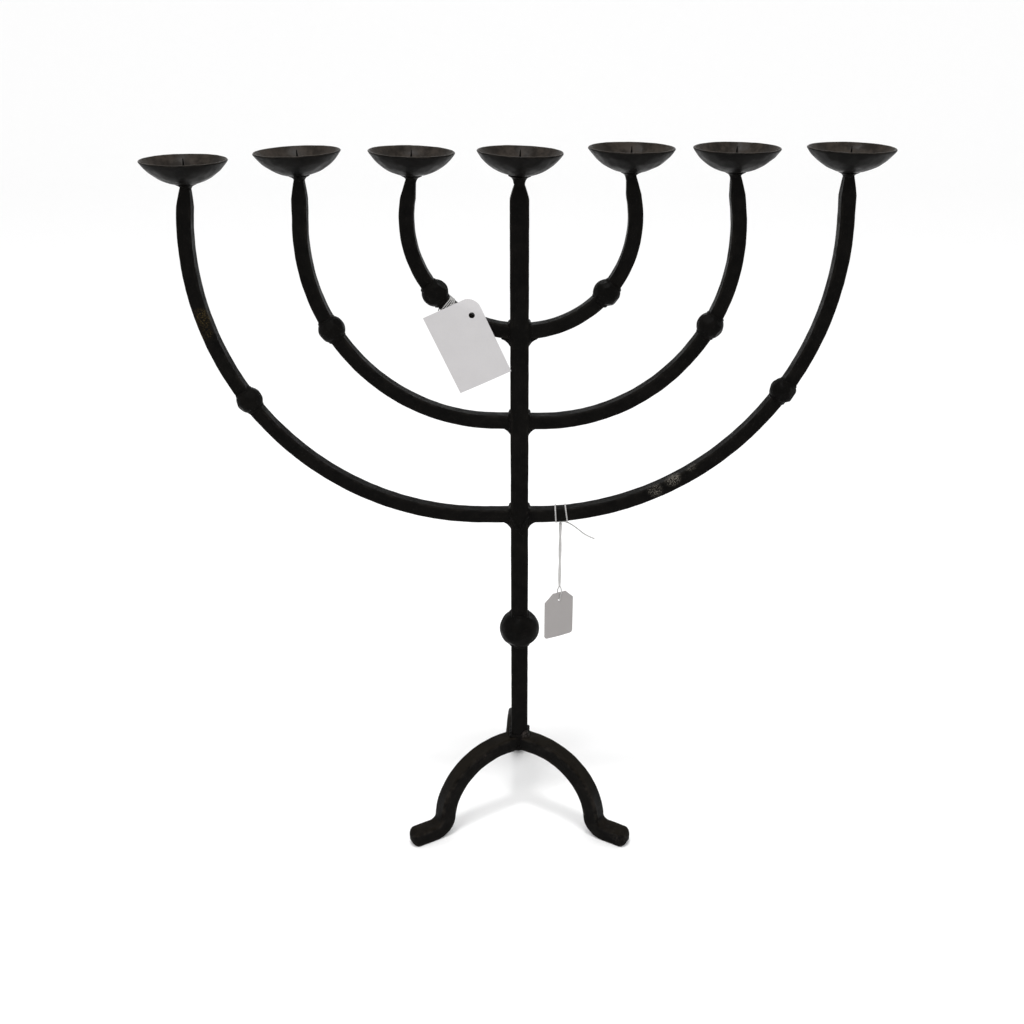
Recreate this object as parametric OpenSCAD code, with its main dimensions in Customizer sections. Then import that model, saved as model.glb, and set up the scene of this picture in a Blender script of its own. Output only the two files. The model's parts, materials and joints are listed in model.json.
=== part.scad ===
// Seven-branch pricket menorah, forged from square iron bar on a three-legged base.
// Millimetres, +Z up, +Y away from the front, standing on z = 0.

/* [Overall] */
// Height of the middle pan's rim above the floor
rim_height = 681.5; // [560:0.5:820]

/* [Stem] */
// Side of the square stem bar
stem_w = 16; // [12:0.5:20]
// Bevel along the stem's worn edges
stem_bevel = 1.2; // [0.5:0.1:2.5]
// Length of the drawn-down point of the stem, under the middle pan
stem_neck_h = 22; // [14:0.5:34]
// Side of the stem where it meets the middle pan
stem_neck_w = 10; // [7:0.5:12]
// Diameter of the ball on the stem, below the arms
stem_ball_d = 38; // [28:0.5:46]

/* [Arms] */
// Side of the square arm bar
arm_w = 12.4; // [10:0.1:14]
// Bevel along the arms' worn edges
arm_bevel = 1.2; // [0.5:0.1:2.5]
// Reach of the inner pans from the stem axis, left then right
inner_reach = [91.5, 94]; // [76:0.5:114]
// Reach of the middle pans from the stem axis, left then right
middle_reach = [186.5, 182.5]; // [150:0.5:226]
// Reach of the outer pans from the stem axis, left then right
outer_reach = [283.5, 278.5]; // [232:0.5:342]
// Where the inner arms start to bend, out from the stem axis
inner_start = [0, 2]; // [0:0.5:12]
// Where the middle arms start to bend, out from the stem axis
middle_start = [20.5, 20.5]; // [0:0.5:30]
// Where the outer arms start to bend, out from the stem axis
outer_start = [35, 16]; // [0:0.5:44]
// Upright length of the inner arms, above the bend
inner_riser = [20, 24]; // [19:0.5:40]
// Upright length of the middle arms, above the bend
middle_riser = [43, 29]; // [19:0.5:60]
// Upright length of the outer arms, above the bend
outer_riser = [20, 40]; // [19:0.5:60]
// How far the inner arms' tops lean towards the stem, in degrees
inner_lean = [11, 10]; // [0:0.5:14]
// How far the middle arms' tops lean towards the stem, in degrees
middle_lean = [3, 9]; // [0:0.5:12]
// How far the outer arms' tops lean towards the stem, in degrees
outer_lean = [8, 3]; // [0:0.5:12]
// Length of the drawn-down point of an arm, under its pan
arm_neck_h = 16; // [10:0.5:18]
// Side of an arm where it meets its pan
arm_neck_w = 7; // [5:0.5:9]

/* [Knops] */
// Diameter of the balls on the arms
knop_d = 23.6; // [19:0.2:28]
// Place of the inner arms' balls, in degrees of bend below the pans
inner_knop_at = [40, 40]; // [30:0.5:44]
// Place of the middle arms' balls, in degrees of bend below the pans
middle_knop_at = [29, 27.5]; // [20:0.5:60]
// Place of the outer arms' balls, in degrees of bend below the pans
outer_knop_at = [33, 32]; // [20:0.5:60]

/* [Welds] */
// Leg of the welds under the inner, middle and outer arms
weld_under = [8.5, 8, 9]; // [4:0.5:11]
// Leg of the welds on top of the inner, middle and outer arms
weld_over = [4, 3, 3.5]; // [2:0.5:6]
// Hollow of the welds, as the radius of their faces
weld_hollow_r = 12; // [11.5:0.5:18]
// Width of the weld under a pan, where it meets the pan
pan_weld_d = 12.6; // [11:0.2:13]
// Height of the weld under a pan
pan_weld_h = 3.2; // [2:0.2:4]

/* [Pans] */
// Diameter of a drip pan, over its rim
pan_d = 74; // [60:0.5:88]
// Depth of a drip pan, outside
pan_depth = 20; // [14:0.5:24]
// Thickness of a pan's wall
pan_wall = 1.8; // [1.2:0.1:3]
// Thickness of a pan's rounded rim
rim_t = 2.4; // [1.6:0.1:3.4]
// Depth of the flat that a pan is seated on
seat_flat = 0.5; // [0.4:0.1:0.8]
// Height of the pans over the middle one: outer, middle and inner pans on the left
pan_rise_left = [-7, 0, 0]; // [-10:0.5:10]
// Height of the pans over the middle one: inner, middle and outer pans on the right
pan_rise_right = [3, 3, 3]; // [-10:0.5:10]
// Sideways tilt of the pans on the left, outer to inner, in degrees
pan_tilt_left = [0.5, -1.5, 2]; // [-3:0.5:3]
// Sideways tilt of the middle pan, in degrees
pan_tilt_middle = 2; // [-3:0.5:3]
// Sideways tilt of the pans on the right, inner to outer, in degrees
pan_tilt_right = [0.5, 0, 0.5]; // [-3:0.5:3]

/* [Prickets] */
// Diameter of a pricket's shank
pricket_d = 3.2; // [2.4:0.1:5]
// Length of the shank, above the bottom of the pan
pricket_shank = 7; // [5:0.5:10]
// How far the collar at a pricket's foot stands out round the shank
pricket_foot_w = 0.7; // [0.5:0.1:1.5]
// Height of that collar
pricket_foot_h = 0.3; // [0.2:0.1:1]
// How far a pricket's point stands above the rim
pricket_proud = 2; // [0:0.5:20]
// Diameter of a pricket's blunted point
pricket_tip_d = 0.6; // [0.4:0.1:1.2]

/* [Base] */
// Side of the square leg bar
leg_w = 16; // [12:0.5:20]
// Bevel along the legs' worn edges
leg_bevel = 1.6; // [0.5:0.1:3]
// Height of the legs' top face, where the stem stands
crown_z = 94; // [80:0.5:112]
// Radius of the legs' large bend, on the bar's centre line
leg_bend_r = 70; // [56:0.5:76]
// Radius of the bend above the toes, on the bar's centre line
toe_bend_r = 15; // [12:0.5:20]
// Distance of a leg's upright part from the stem axis
leg_reach = 89; // [78:0.5:108]
// Length of the straight toe that lies on the floor
toe_l = 18; // [12:0.5:26]
// Angle between each front leg and straight forward
front_leg_turn = 60; // [55:0.5:65]
// Sideways place of the rear leg on the crown
rear_leg_shift = -6; // [-7:0.5:7]
// Turn of the rear leg back towards the middle, in degrees
rear_leg_turn = -2.5; // [-4:0.5:4]
// Width of the weld bead under the crown
crown_bead_d = 15; // [10:0.5:18]
// How far the weld bead stands out under the crown
crown_bead_h = 1.6; // [0.8:0.1:2.4]
// Leg of the welds round the foot of the stem
foot_weld = 3; // [2:0.5:5]

/* [Tags] */
// Width of the large card
card_w = 50.6; // [40:0.2:60]
// Height of the large card
card_h = 76.4; // [60:0.2:92]
// Radius of the large card's round corner
card_corner_r = 12; // [6:0.5:20]
// Thickness of both cards
card_t = 0.6; // [0.4:0.1:1]
// Diameter of the hole in the large card
card_hole_d = 5.5; // [4:0.1:7]
// Lean of the large card from upright, in degrees
card_lean = 24.5; // [0:0.5:40]
// Width of the small ticket
ticket_w = 32; // [25:0.5:38]
// Height of the small ticket
ticket_h = 50; // [40:0.5:60]
// Cut-off corners of the small ticket
ticket_clip = 9; // [4:0.5:12]
// Corner radius at the foot of the small ticket
ticket_corner_r = 3; // [1:0.5:6]
// Diameter of the hole in the small ticket
ticket_hole_d = 3.2; // [2.8:0.1:4]
// Turn of the small ticket about its string, in degrees
ticket_turn = 27; // [-90:0.5:90]
// Diameter of the tag string
string_d = 1.1; // [0.8:0.1:1.6]
// Length of the string from its knot to the ticket's eye
string_drop = 68; // [40:0.5:90]

/* [Hidden] */
$fn = 96;

iron = "#2a2826";
weld_iron = "#383430";
paper = "#dedad6";
twine = "#b9b6b0";

LEFT = 0;
RIGHT = 1;
OUTER = 0;
MIDDLE = 1;
INNER = 2;

// One row for each arm, outer to inner: reach, start, riser, lean and place of the ball.
reaches = [outer_reach, middle_reach, inner_reach];
starts = [outer_start, middle_start, inner_start];
risers = [outer_riser, middle_riser, inner_riser];
leans = [outer_lean, middle_lean, inner_lean];
knops_at = [outer_knop_at, middle_knop_at, inner_knop_at];
welds_under = [weld_under[2], weld_under[1], weld_under[0]];
welds_over = [weld_over[2], weld_over[1], weld_over[0]];

function side_sign(side) = side == LEFT ? -1 : 1;
function pan_rise(rank, side) = side == LEFT ? pan_rise_left[rank] : pan_rise_right[2 - rank];
function pan_tilt(rank, side) = side == LEFT ? pan_tilt_left[rank] : pan_tilt_right[2 - rank];

// The pans: a spherical dish, with a small flat underneath that it is welded on by.
pan_r = pan_d / 2;
dish_r = (pow(pan_r - rim_t / 2, 2) + pow(pan_depth, 2)) / (2 * pan_depth);
seat_drop = pan_depth - seat_flat;
weld_foot_out = 0.7;
function seat_z(rise) = rim_height + rise - seat_drop;

// The arms: out of the stem, round a bend of more than a right angle, and up to the pan.
function hundredths(x) = round(x * 100) / 100;
function bend_r(rank, side) = hundredths(
    (reaches[rank][side] - starts[rank][side] + risers[rank][side] * sin(leans[rank][side]))
    / cos(leans[rank][side])
);
function joint_z(rank, side) = hundredths(
    seat_z(pan_rise(rank, side)) - risers[rank][side] * cos(leans[rank][side])
    - bend_r(rank, side) * (1 + sin(leans[rank][side]))
);
function bend_z(rank, side) = joint_z(rank, side) + bend_r(rank, side);

// Where a bar runs on into a bend, it reaches this far in and is this much thinner.
join_overlap = 1;
join_step = 0.02;

// The base: each leg runs out, bends down, and bends out again into a toe.
leg_axis_z = crown_z - leg_w / 2;
leg_bend_x = leg_reach - leg_bend_r;
leg_bend_z = leg_axis_z - leg_bend_r;
toe_angle = asin((leg_w / 2 + toe_bend_r - leg_bend_z) / (leg_bend_r + toe_bend_r));
toe_bend_x = leg_bend_x + (leg_bend_r + toe_bend_r) * cos(toe_angle);
toe_bend_z = leg_w / 2 + toe_bend_r;
toe_overlap = join_overlap / 2 / toe_bend_r * 180 / PI;
leg_overlap = join_overlap / 2 / leg_bend_r * 180 / PI;
toe_end_x = toe_bend_x + toe_l + leg_w / 2;

lowest_joint_z = min(joint_z(OUTER, LEFT), joint_z(OUTER, RIGHT));
stem_ball_z = (crown_z + lowest_joint_z) / 2;

// A toe ends in a nose that is round from the side and, more gently, from above.
nose_r = leg_w / 2;
nose_plan_r = 1.25 * nose_r;
nose_plan_x = toe_l - nose_r / 4;

// The origin is under the middle of the box that holds the whole menorah.
left_edge = outer_reach[LEFT] + pan_r - seat_drop * sin(pan_tilt(OUTER, LEFT));
right_edge = outer_reach[RIGHT] + pan_r + seat_drop * sin(pan_tilt(OUTER, RIGHT));
rear_edge = (toe_bend_x + nose_plan_x) * cos(rear_leg_turn) + nose_plan_r;
front_edge = (toe_bend_x + nose_plan_x) * cos(front_leg_turn)
    + nose_plan_r * cos(front_leg_turn - asin(nose_r / nose_plan_r));
shift_x = (left_edge - right_edge) / 2;
shift_y = (front_edge - rear_edge) / 2;

// The tags: the card is tied to the inner left arm, the ticket hangs from the outer right one.
tie_at = 49;
tie_angle = 4;
tie_t = 1.2;
tie_x = -starts[INNER][LEFT] - bend_r(INNER, LEFT) * cos(tie_at);
tie_z = bend_z(INNER, LEFT) - bend_r(INNER, LEFT) * sin(tie_at);
tie_front_y = -arm_w / 2 - tie_t;
card_gap = 1.6;
card_back_y = min(tie_front_y - card_gap, -stem_w / 2 - 1);
card_ahead = tie_front_y - card_gap - card_back_y;
card_foot = [tie_x + 10.2, tie_z - 79];
card_hole_in = 10.2;
card_hole_down = 15.4;
ticket_x = 39.5;
ticket_hole_down = 8;
loop_half_gap = 4.3;
knot_d = 3.4;
strands_d = 2 * string_d;
string_gap = 0.4;

ring_r = bend_r(OUTER, RIGHT) + arm_w / 2;
function on_outer_arm(x) = -acos((x - starts[OUTER][RIGHT]) / bend_r(OUTER, RIGHT));
knot_z = bend_z(OUTER, RIGHT) + (ring_r + string_d) * sin(on_outer_arm(ticket_x)) - knot_d / 2;
strands_top_z = knot_z - knot_d / 2 - string_gap;
strands_foot_z = strands_top_z - string_drop;

// Routes of the string. The tail's points are counted from the knot, the eye's from the hole
// in the ticket, and the card string's from where the string leaves the arm.
tail_route = [
    [1.5, -0.4, 0], [4, -1, 0.4], [7, -1.6, -0.4], [10, -2, -2], [13, -2, -4],
    [16, -2, -6.4], [19, -2, -9], [22, -2, -11.6], [25, -2, -13.6], [28, -2, -15.2],
    [31, -2, -16.6], [33, -2, -17.4]
];
eye_half = [
    [0, -0.1, 0], [0.1, -0.8, 0.4], [0.4, -1, 1.6], [0.8, -1, 4], [1.3, -1, 7],
    [1.7, -0.8, 9.4], [1.6, -0.5, 11.6], [0.9, -0.2, 13.6], [0, 0, 14.4]
];
eye_other_half = [
    for (i = [len(eye_half) - 2 : -1 : 0]) [-eye_half[i][0], -eye_half[i][1], eye_half[i][2]]
];
eye_route = concat(eye_half, eye_other_half);
eye_top = eye_half[len(eye_half) - 1][2];
card_string_start = [tie_x + 3, tie_front_y - 0.9, tie_z + 2.1];
card_string_rise = [
    [0, 0, 0], [1.5, -0.05, 0.4], [3, -0.1, 0.8], [4.5, -0.15, 1], [6, -0.15, 1], [7.5, -0.15, 0.8]
];
card_string_route = [
    for (p = card_string_rise) [p[0], p[1] - card_ahead * p[0] / card_string_rise[5][0], p[2]]
];
ticket_hole_z = strands_foot_z - string_gap - string_d / 2 - eye_top;
ticket_top_z = ticket_hole_z + ticket_hole_down;

module iron_bar(w, bevel) {
    h = w / 2;
    polygon([
        [h, bevel - h], [h, h - bevel], [h - bevel, h], [bevel - h, h],
        [-h, h - bevel], [-h, bevel - h], [bevel - h, -h], [h - bevel, -h]
    ]);
}

// A stretch of bar bent to radius r about the origin, from one angle to another, in the XZ plane.
module bent(r, from, to) {
    rotate([90, 0, 0])
        rotate([0, 0, from])
            rotate_extrude(angle = to - from)
                translate([r, 0])
                    children();
}

// A square point, drawn down from side w to side tip over height h.
module drawn_point(w, tip, h) {
    outline = [[-w / 2, 0], [w / 2, 0], [tip / 2, h], [-tip / 2, h]];
    intersection() {
        rotate([90, 0, 0])
            linear_extrude(height = 2 * w, center = true)
                polygon(outline);
        rotate([90, 0, 90])
            linear_extrude(height = 2 * w, center = true)
                polygon(outline);
    }
}

// A ring of 8 points about a route point, square to the route's direction there.
function unit(v) = v / norm(v);
function ahead(route, i) =
    unit(route[min(i + 1, len(route) - 1)] - route[max(i - 1, 0)]);
function ring(route, i, r, across, sides) =
    let (t = ahead(route, i), u = unit(cross(t, across)), v = cross(t, u))
    [for (k = [0 : sides - 1]) route[i] + r * (cos(360 * k / sides) * u + sin(360 * k / sides) * v)];

module string_along(route, d, across) {
    sides = 8;
    last = len(route) - 1;
    points = [for (i = [0 : last]) each ring(route, i, d / 2, across, sides)];
    start_cap = [for (k = [0 : sides - 1]) k];
    end_cap = [for (k = [sides - 1 : -1 : 0]) last * sides + k];
    wall = [
        for (i = [0 : last - 1], k = [0 : sides - 1])
            let (a = i * sides + k, b = i * sides + (k + 1) % sides)
            [a, a + sides, b + sides, b]
    ];
    polyhedron(points = points, faces = concat([start_cap], [end_cap], wall));
}

// Everything is drawn about the stem axis, then moved so that the origin is under the middle.
module placed() {
    translate([shift_x, shift_y, 0])
        children();
}

module on_side(side) {
    mirror([side == LEFT ? 1 : 0, 0, 0])
        children();
}

module at_bend(rank, side) {
    translate([starts[rank][side], 0, bend_z(rank, side)])
        children();
}

module at_seat(x, rise, tilt) {
    translate([x, 0, seat_z(rise)])
        rotate([0, tilt, 0])
            children();
}

module at_pan(rank, side) {
    at_seat(side_sign(side) * reaches[rank][side], pan_rise(rank, side), pan_tilt(rank, side))
        children();
}

// Everything above the flat under a pan.
module above_seat() {
    translate([-pan_r, -pan_r, 0])
        cube([pan_d, pan_d, 2 * pan_d]);
}

module arm_bar(rank, side) {
    r = bend_r(rank, side);
    lean = leans[rank][side];
    riser = risers[rank][side];
    start = starts[rank][side];
    neck_end = 2 * seat_flat;
    on_side(side) {
        difference() {
            union() {
                at_bend(rank, side)
                    bent(r, -90, lean)
                        iron_bar(arm_w, arm_bevel);
                if (start > stem_w / 2)
                    translate([0, 0, joint_z(rank, side)])
                        rotate([0, 90, 0])
                            linear_extrude(height = start)
                                iron_bar(arm_w, arm_bevel);
            }
            translate([-stem_w / 2 - arm_w, -arm_w, joint_z(rank, side) - arm_w])
                cube([stem_w + arm_w, 2 * arm_w, 2 * arm_w]);
        }
        at_bend(rank, side)
            rotate([0, -lean, 0])
                translate([r, 0, 0]) {
                    translate([0, 0, -join_overlap])
                        linear_extrude(height = riser - arm_neck_h + join_overlap)
                            iron_bar(arm_w - 2 * join_step, arm_bevel);
                    translate([0, 0, riser - arm_neck_h])
                        intersection() {
                            drawn_point(arm_w, arm_neck_w, arm_neck_h);
                            linear_extrude(height = arm_neck_h)
                                iron_bar(arm_w, arm_bevel);
                        }
                    translate([0, 0, riser])
                        linear_extrude(height = neck_end)
                            square(arm_neck_w, center = true);
                }
    }
}

module arm(rank, side) {
    color(iron)
        placed()
            difference() {
                arm_bar(rank, side);
                at_pan(rank, side)
                    above_seat();
            }
}

module knop(rank, side) {
    color(iron)
        placed()
            difference() {
                on_side(side)
                    at_bend(rank, side)
                        rotate([0, knops_at[rank][side], 0])
                            translate([bend_r(rank, side), 0, 0])
                                sphere(d = knop_d);
                arm_bar(rank, side);
            }
}

module stem_bar() {
    shoulder_z = seat_z(0) - stem_neck_h;
    neck_end = 2 * seat_flat;
    translate([0, 0, crown_z])
        linear_extrude(height = shoulder_z - crown_z)
            iron_bar(stem_w, stem_bevel);
    translate([0, 0, shoulder_z])
        intersection() {
            drawn_point(stem_w, stem_neck_w, stem_neck_h);
            linear_extrude(height = stem_neck_h)
                iron_bar(stem_w, stem_bevel);
        }
    translate([0, 0, seat_z(0)])
        linear_extrude(height = neck_end)
            square(stem_neck_w, center = true);
}

module stem() {
    color(iron)
        placed()
            difference() {
                stem_bar();
                at_seat(0, 0, pan_tilt_middle)
                    above_seat();
            }
}

module stem_ball() {
    color(iron)
        placed()
            difference() {
                translate([0, 0, stem_ball_z])
                    sphere(d = stem_ball_d);
                stem_bar();
            }
}

// A dish whose flat stands on z = 0, cut from a sphere and closed by a rounded rim.
module dish() {
    centre_z = dish_r - seat_flat;
    rim_z = seat_drop;
    difference() {
        union() {
            intersection() {
                translate([0, 0, centre_z])
                    sphere(r = dish_r);
                cylinder(r = pan_r, h = rim_z);
            }
            translate([0, 0, rim_z])
                rotate_extrude()
                    translate([pan_r - rim_t / 2, 0])
                        circle(d = rim_t);
        }
        translate([0, 0, centre_z])
            sphere(r = dish_r - pan_wall);
    }
}

module pan(rank, side) {
    color(iron)
        placed()
            at_pan(rank, side)
                dish();
}

module pan_centre() {
    color(iron)
        placed()
            at_seat(0, 0, pan_tilt_middle)
                dish();
}

// A spike on the bottom of the dish: a small sloping collar, a round shank, and a blunt point.
module spike() {
    floor_z = pan_wall - seat_flat;
    tip_z = seat_drop + pricket_proud;
    intersection() {
        union() {
            translate([0, 0, floor_z - pricket_foot_h])
                cylinder(
                    d1 = pricket_d + 4 * pricket_foot_w, d2 = pricket_d, h = 2 * pricket_foot_h
                );
            translate([0, 0, floor_z + pricket_foot_h])
                cylinder(d = pricket_d, h = pricket_shank - pricket_foot_h);
            translate([0, 0, floor_z + pricket_shank])
                cylinder(
                    d1 = pricket_d, d2 = pricket_tip_d, h = tip_z - floor_z - pricket_shank
                );
        }
        translate([0, 0, dish_r - seat_flat])
            sphere(r = dish_r - pan_wall);
    }
}

module pricket(rank, side) {
    color(iron)
        placed()
            at_pan(rank, side)
                spike();
}

module pricket_centre() {
    color(iron)
        placed()
            at_seat(0, 0, pan_tilt_middle)
                spike();
}

module pan_weld(neck_w) {
    widest = pan_weld_d + neck_w - arm_neck_w;
    translate([0, 0, -pan_weld_h])
        cylinder(d1 = neck_w + weld_foot_out, d2 = widest, h = pan_weld_h);
}

module welds_under_pans() {
    color(weld_iron)
        placed() {
            for (rank = [OUTER : INNER], side = [LEFT, RIGHT])
                difference() {
                    at_pan(rank, side)
                        pan_weld(arm_neck_w);
                    arm_bar(rank, side);
                }
            difference() {
                at_seat(0, 0, pan_tilt_middle)
                    pan_weld(stem_neck_w);
                stem_bar();
            }
        }
}

// The corner between the stem and a bar, filled to the given leg with a hollow face.
module corner_weld(leg, reach) {
    hollow = (leg + sqrt(2 * pow(weld_hollow_r, 2) - pow(leg, 2))) / 2;
    difference() {
        square([leg, leg + reach]);
        translate([hollow, reach + hollow])
            circle(r = weld_hollow_r);
    }
}

module arm_welds(rank) {
    color(weld_iron)
        placed()
            for (side = [LEFT, RIGHT])
                difference() {
                    on_side(side)
                        translate([stem_w / 2, 0, joint_z(rank, side)])
                            rotate([90, 0, 0])
                                linear_extrude(height = arm_w - 2 * arm_bevel, center = true) {
                                    corner_weld(welds_over[rank], arm_w / 2);
                                    mirror([0, 1])
                                        corner_weld(welds_under[rank], arm_w / 2);
                                }
                    arm_bar(rank, side);
                }
}

// A leg along +X: out from the axis, down round the large bend, and out into the toe.
module leg_bar() {
    translate([0, 0, leg_axis_z])
        rotate([0, 90, 0])
            linear_extrude(height = leg_bend_x)
                iron_bar(leg_w, leg_bevel);
    translate([leg_bend_x, 0, leg_bend_z])
        bent(leg_bend_r, toe_angle, 90 + leg_overlap)
            iron_bar(leg_w - 2 * join_step, leg_bevel);
    translate([toe_bend_x, 0, toe_bend_z])
        bent(toe_bend_r, 180 + toe_angle - toe_overlap, 270 + toe_overlap)
            iron_bar(leg_w - 4 * join_step, leg_bevel);
    translate([toe_bend_x, 0, leg_w / 2])
        intersection() {
            rotate([0, 90, 0])
                linear_extrude(height = toe_l + leg_w / 2)
                    iron_bar(leg_w, leg_bevel);
            toe_end();
        }
}

// The space of a toe that ends in a round nose, seen from the side and from above.
module toe_end() {
    translate([0, -leg_w, -leg_w])
        cube([nose_plan_x, 2 * leg_w, 2 * leg_w]);
    intersection() {
        union() {
            translate([0, -leg_w, -leg_w])
                cube([toe_l, 2 * leg_w, 2 * leg_w]);
            translate([toe_l, 0, 0])
                rotate([90, 0, 0])
                    cylinder(r = nose_r, h = 2 * leg_w, center = true);
        }
        translate([nose_plan_x, 0, 0])
            cylinder(r = nose_plan_r, h = 2 * leg_w, center = true);
    }
}

// The third of the crown that belongs to the leg along +X.
module crown_third() {
    far = 2 * toe_end_x;
    linear_extrude(height = 2 * crown_z)
        polygon([[0, 0], [far, -far * tan(60)], [far, far * tan(60)]]);
}

module at_front_leg(side) {
    on_side(side)
        rotate([0, 0, -30])
            intersection() {
                rotate([0, 0, 60 - front_leg_turn])
                    translate([-leg_w / 2, 0, 0])
                        children();
                crown_third();
            }
}

module at_rear_leg() {
    rotate([0, 0, 90])
        intersection() {
            translate([0, -rear_leg_shift, 0])
                rotate([0, 0, rear_leg_turn])
                    translate([-leg_w / 2, 0, 0])
                        children();
            crown_third();
        }
}

module leg_front(side) {
    color(iron)
        placed()
            at_front_leg(side)
                leg_with_root();
}

module leg_rear() {
    color(iron)
        placed()
            at_rear_leg()
                leg_with_root();
}

// A leg whose straight bar starts half a bar behind the axis, so that the crown can be mitred.
module leg_with_root() {
    translate([leg_w / 2, 0, 0])
        leg_bar();
    translate([0, 0, leg_axis_z])
        rotate([0, 90, 0])
            linear_extrude(height = leg_w / 2)
                iron_bar(leg_w, leg_bevel);
}

// Weld round the foot of the stem.
module welds_stem_foot() {
    wide = stem_w + 2 * foot_weld;
    color(weld_iron)
        placed()
            translate([0, 0, crown_z])
                difference() {
                    drawn_point(wide, stem_w, foot_weld);
                    translate([0, 0, -foot_weld])
                        linear_extrude(height = 3 * foot_weld)
                            iron_bar(stem_w, stem_bevel);
                }
}

module weld_under_crown() {
    bead_r = (pow(crown_bead_d / 2, 2) + pow(crown_bead_h, 2)) / (2 * crown_bead_h);
    color(weld_iron)
        placed()
            translate([0, 0, crown_z - leg_w])
                intersection() {
                    translate([0, 0, bead_r - crown_bead_h])
                        sphere(r = bead_r);
                    translate([0, 0, -crown_bead_h])
                        cylinder(d = crown_bead_d, h = crown_bead_h);
                }
}

// The section of string wound round an arm, to thickness t.
module wound_on_arm(t) {
    difference() {
        iron_bar(arm_w + 2 * t, arm_bevel + t);
        iron_bar(arm_w, arm_bevel);
    }
}

// String wound round the inner left arm, just below its ball.
module card_tie() {
    color(twine)
        placed()
            on_side(LEFT)
                at_bend(INNER, LEFT)
                    bent(bend_r(INNER, LEFT), -tie_at - tie_angle / 2, tie_angle / 2 - tie_at)
                        wound_on_arm(tie_t);
}

// The large card, with its lower left corner at the origin and its upper right corner round.
module card_outline() {
    difference() {
        union() {
            square([card_w, card_h - card_corner_r]);
            square([card_w - card_corner_r, card_h]);
            translate([card_w - card_corner_r, card_h - card_corner_r])
                circle(r = card_corner_r);
        }
        translate([card_w - card_hole_in, card_h - card_hole_down])
            circle(d = card_hole_d);
    }
}

module tag_card() {
    color(paper)
        placed()
            translate([card_foot[0], card_back_y, card_foot[1]])
                rotate([0, -card_lean, 0])
                    rotate([90, 0, 0])
                        linear_extrude(height = card_t)
                            card_outline();
}

module card_string() {
    color(twine)
        placed()
            translate(card_string_start)
                string_along(card_string_route, string_d, [0, 0, 1]);
}

// Two turns of string over the outer right arm, joined underneath it.
module ticket_loop() {
    turn_angle = string_d / ring_r * 180 / PI;
    from = on_outer_arm(ticket_x - loop_half_gap);
    to = on_outer_arm(ticket_x + loop_half_gap);
    color(twine)
        placed()
            at_bend(OUTER, RIGHT) {
                for (at = [from, to])
                    bent(bend_r(OUTER, RIGHT), at - turn_angle / 2, at + turn_angle / 2)
                        wound_on_arm(string_d);
                bent(ring_r + string_d / 2, from, to)
                    square(string_d - 2 * join_step, center = true);
            }
}

module ticket_knot() {
    color(twine)
        placed()
            translate([ticket_x, 0, knot_z])
                sphere(d = knot_d);
}

module ticket_tail() {
    color(twine)
        placed()
            translate([ticket_x, 0, knot_z])
                string_along(tail_route, string_d, [0, 1, 0]);
}

// The two strands between the knot and the ticket, as one round.
module ticket_strands() {
    color(twine)
        placed()
            translate([ticket_x, 0, strands_foot_z])
                cylinder(d = strands_d, h = string_drop);
}

module at_ticket() {
    translate([ticket_x, 0, ticket_hole_z])
        rotate([0, 0, ticket_turn])
            children();
}

module ticket_eye() {
    color(twine)
        placed()
            at_ticket()
                string_along(eye_route, string_d, [0.2, 0.98, 0]);
}

// The small ticket about its hole, with cut corners at the top and round ones at the foot.
module ticket_outline() {
    half = ticket_w / 2;
    top = ticket_hole_down;
    foot = top - ticket_h;
    difference() {
        union() {
            polygon([
                [ticket_clip - half, top], [-half, top - ticket_clip],
                [-half, foot + ticket_corner_r], [half, foot + ticket_corner_r],
                [half, top - ticket_clip], [half - ticket_clip, top]
            ]);
            translate([ticket_corner_r - half, foot])
                square([ticket_w - 2 * ticket_corner_r, 2 * ticket_corner_r]);
            for (x = [ticket_corner_r - half, half - ticket_corner_r])
                translate([x, foot + ticket_corner_r])
                    circle(r = ticket_corner_r);
        }
        circle(d = ticket_hole_d);
    }
}

module ticket() {
    color(paper)
        placed()
            at_ticket()
                rotate([90, 0, 0])
                    linear_extrude(height = card_t, center = true)
                        ticket_outline();
}

stem();
stem_ball();
arm(OUTER, LEFT);  // arm_left_outer
arm(MIDDLE, LEFT);  // arm_left_middle
arm(INNER, LEFT);  // arm_left_inner
arm(INNER, RIGHT);  // arm_right_inner
arm(MIDDLE, RIGHT);  // arm_right_middle
arm(OUTER, RIGHT);  // arm_right_outer
knop(OUTER, LEFT);  // knop_left_outer
knop(MIDDLE, LEFT);  // knop_left_middle
knop(INNER, LEFT);  // knop_left_inner
knop(INNER, RIGHT);  // knop_right_inner
knop(MIDDLE, RIGHT);  // knop_right_middle
knop(OUTER, RIGHT);  // knop_right_outer
pan(OUTER, LEFT);  // pan_left_outer
pan(MIDDLE, LEFT);  // pan_left_middle
pan(INNER, LEFT);  // pan_left_inner
pan_centre();
pan(INNER, RIGHT);  // pan_right_inner
pan(MIDDLE, RIGHT);  // pan_right_middle
pan(OUTER, RIGHT);  // pan_right_outer
pricket(OUTER, LEFT);  // pricket_left_outer
pricket(MIDDLE, LEFT);  // pricket_left_middle
pricket(INNER, LEFT);  // pricket_left_inner
pricket_centre();
pricket(INNER, RIGHT);  // pricket_right_inner
pricket(MIDDLE, RIGHT);  // pricket_right_middle
pricket(OUTER, RIGHT);  // pricket_right_outer
arm_welds(INNER);  // welds_inner_arms
arm_welds(MIDDLE);  // welds_middle_arms
arm_welds(OUTER);  // welds_outer_arms
welds_under_pans();
leg_front(LEFT);  // leg_front_left
leg_front(RIGHT);  // leg_front_right
leg_rear();
welds_stem_foot();
weld_under_crown();
card_tie();
card_string();
tag_card();
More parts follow.
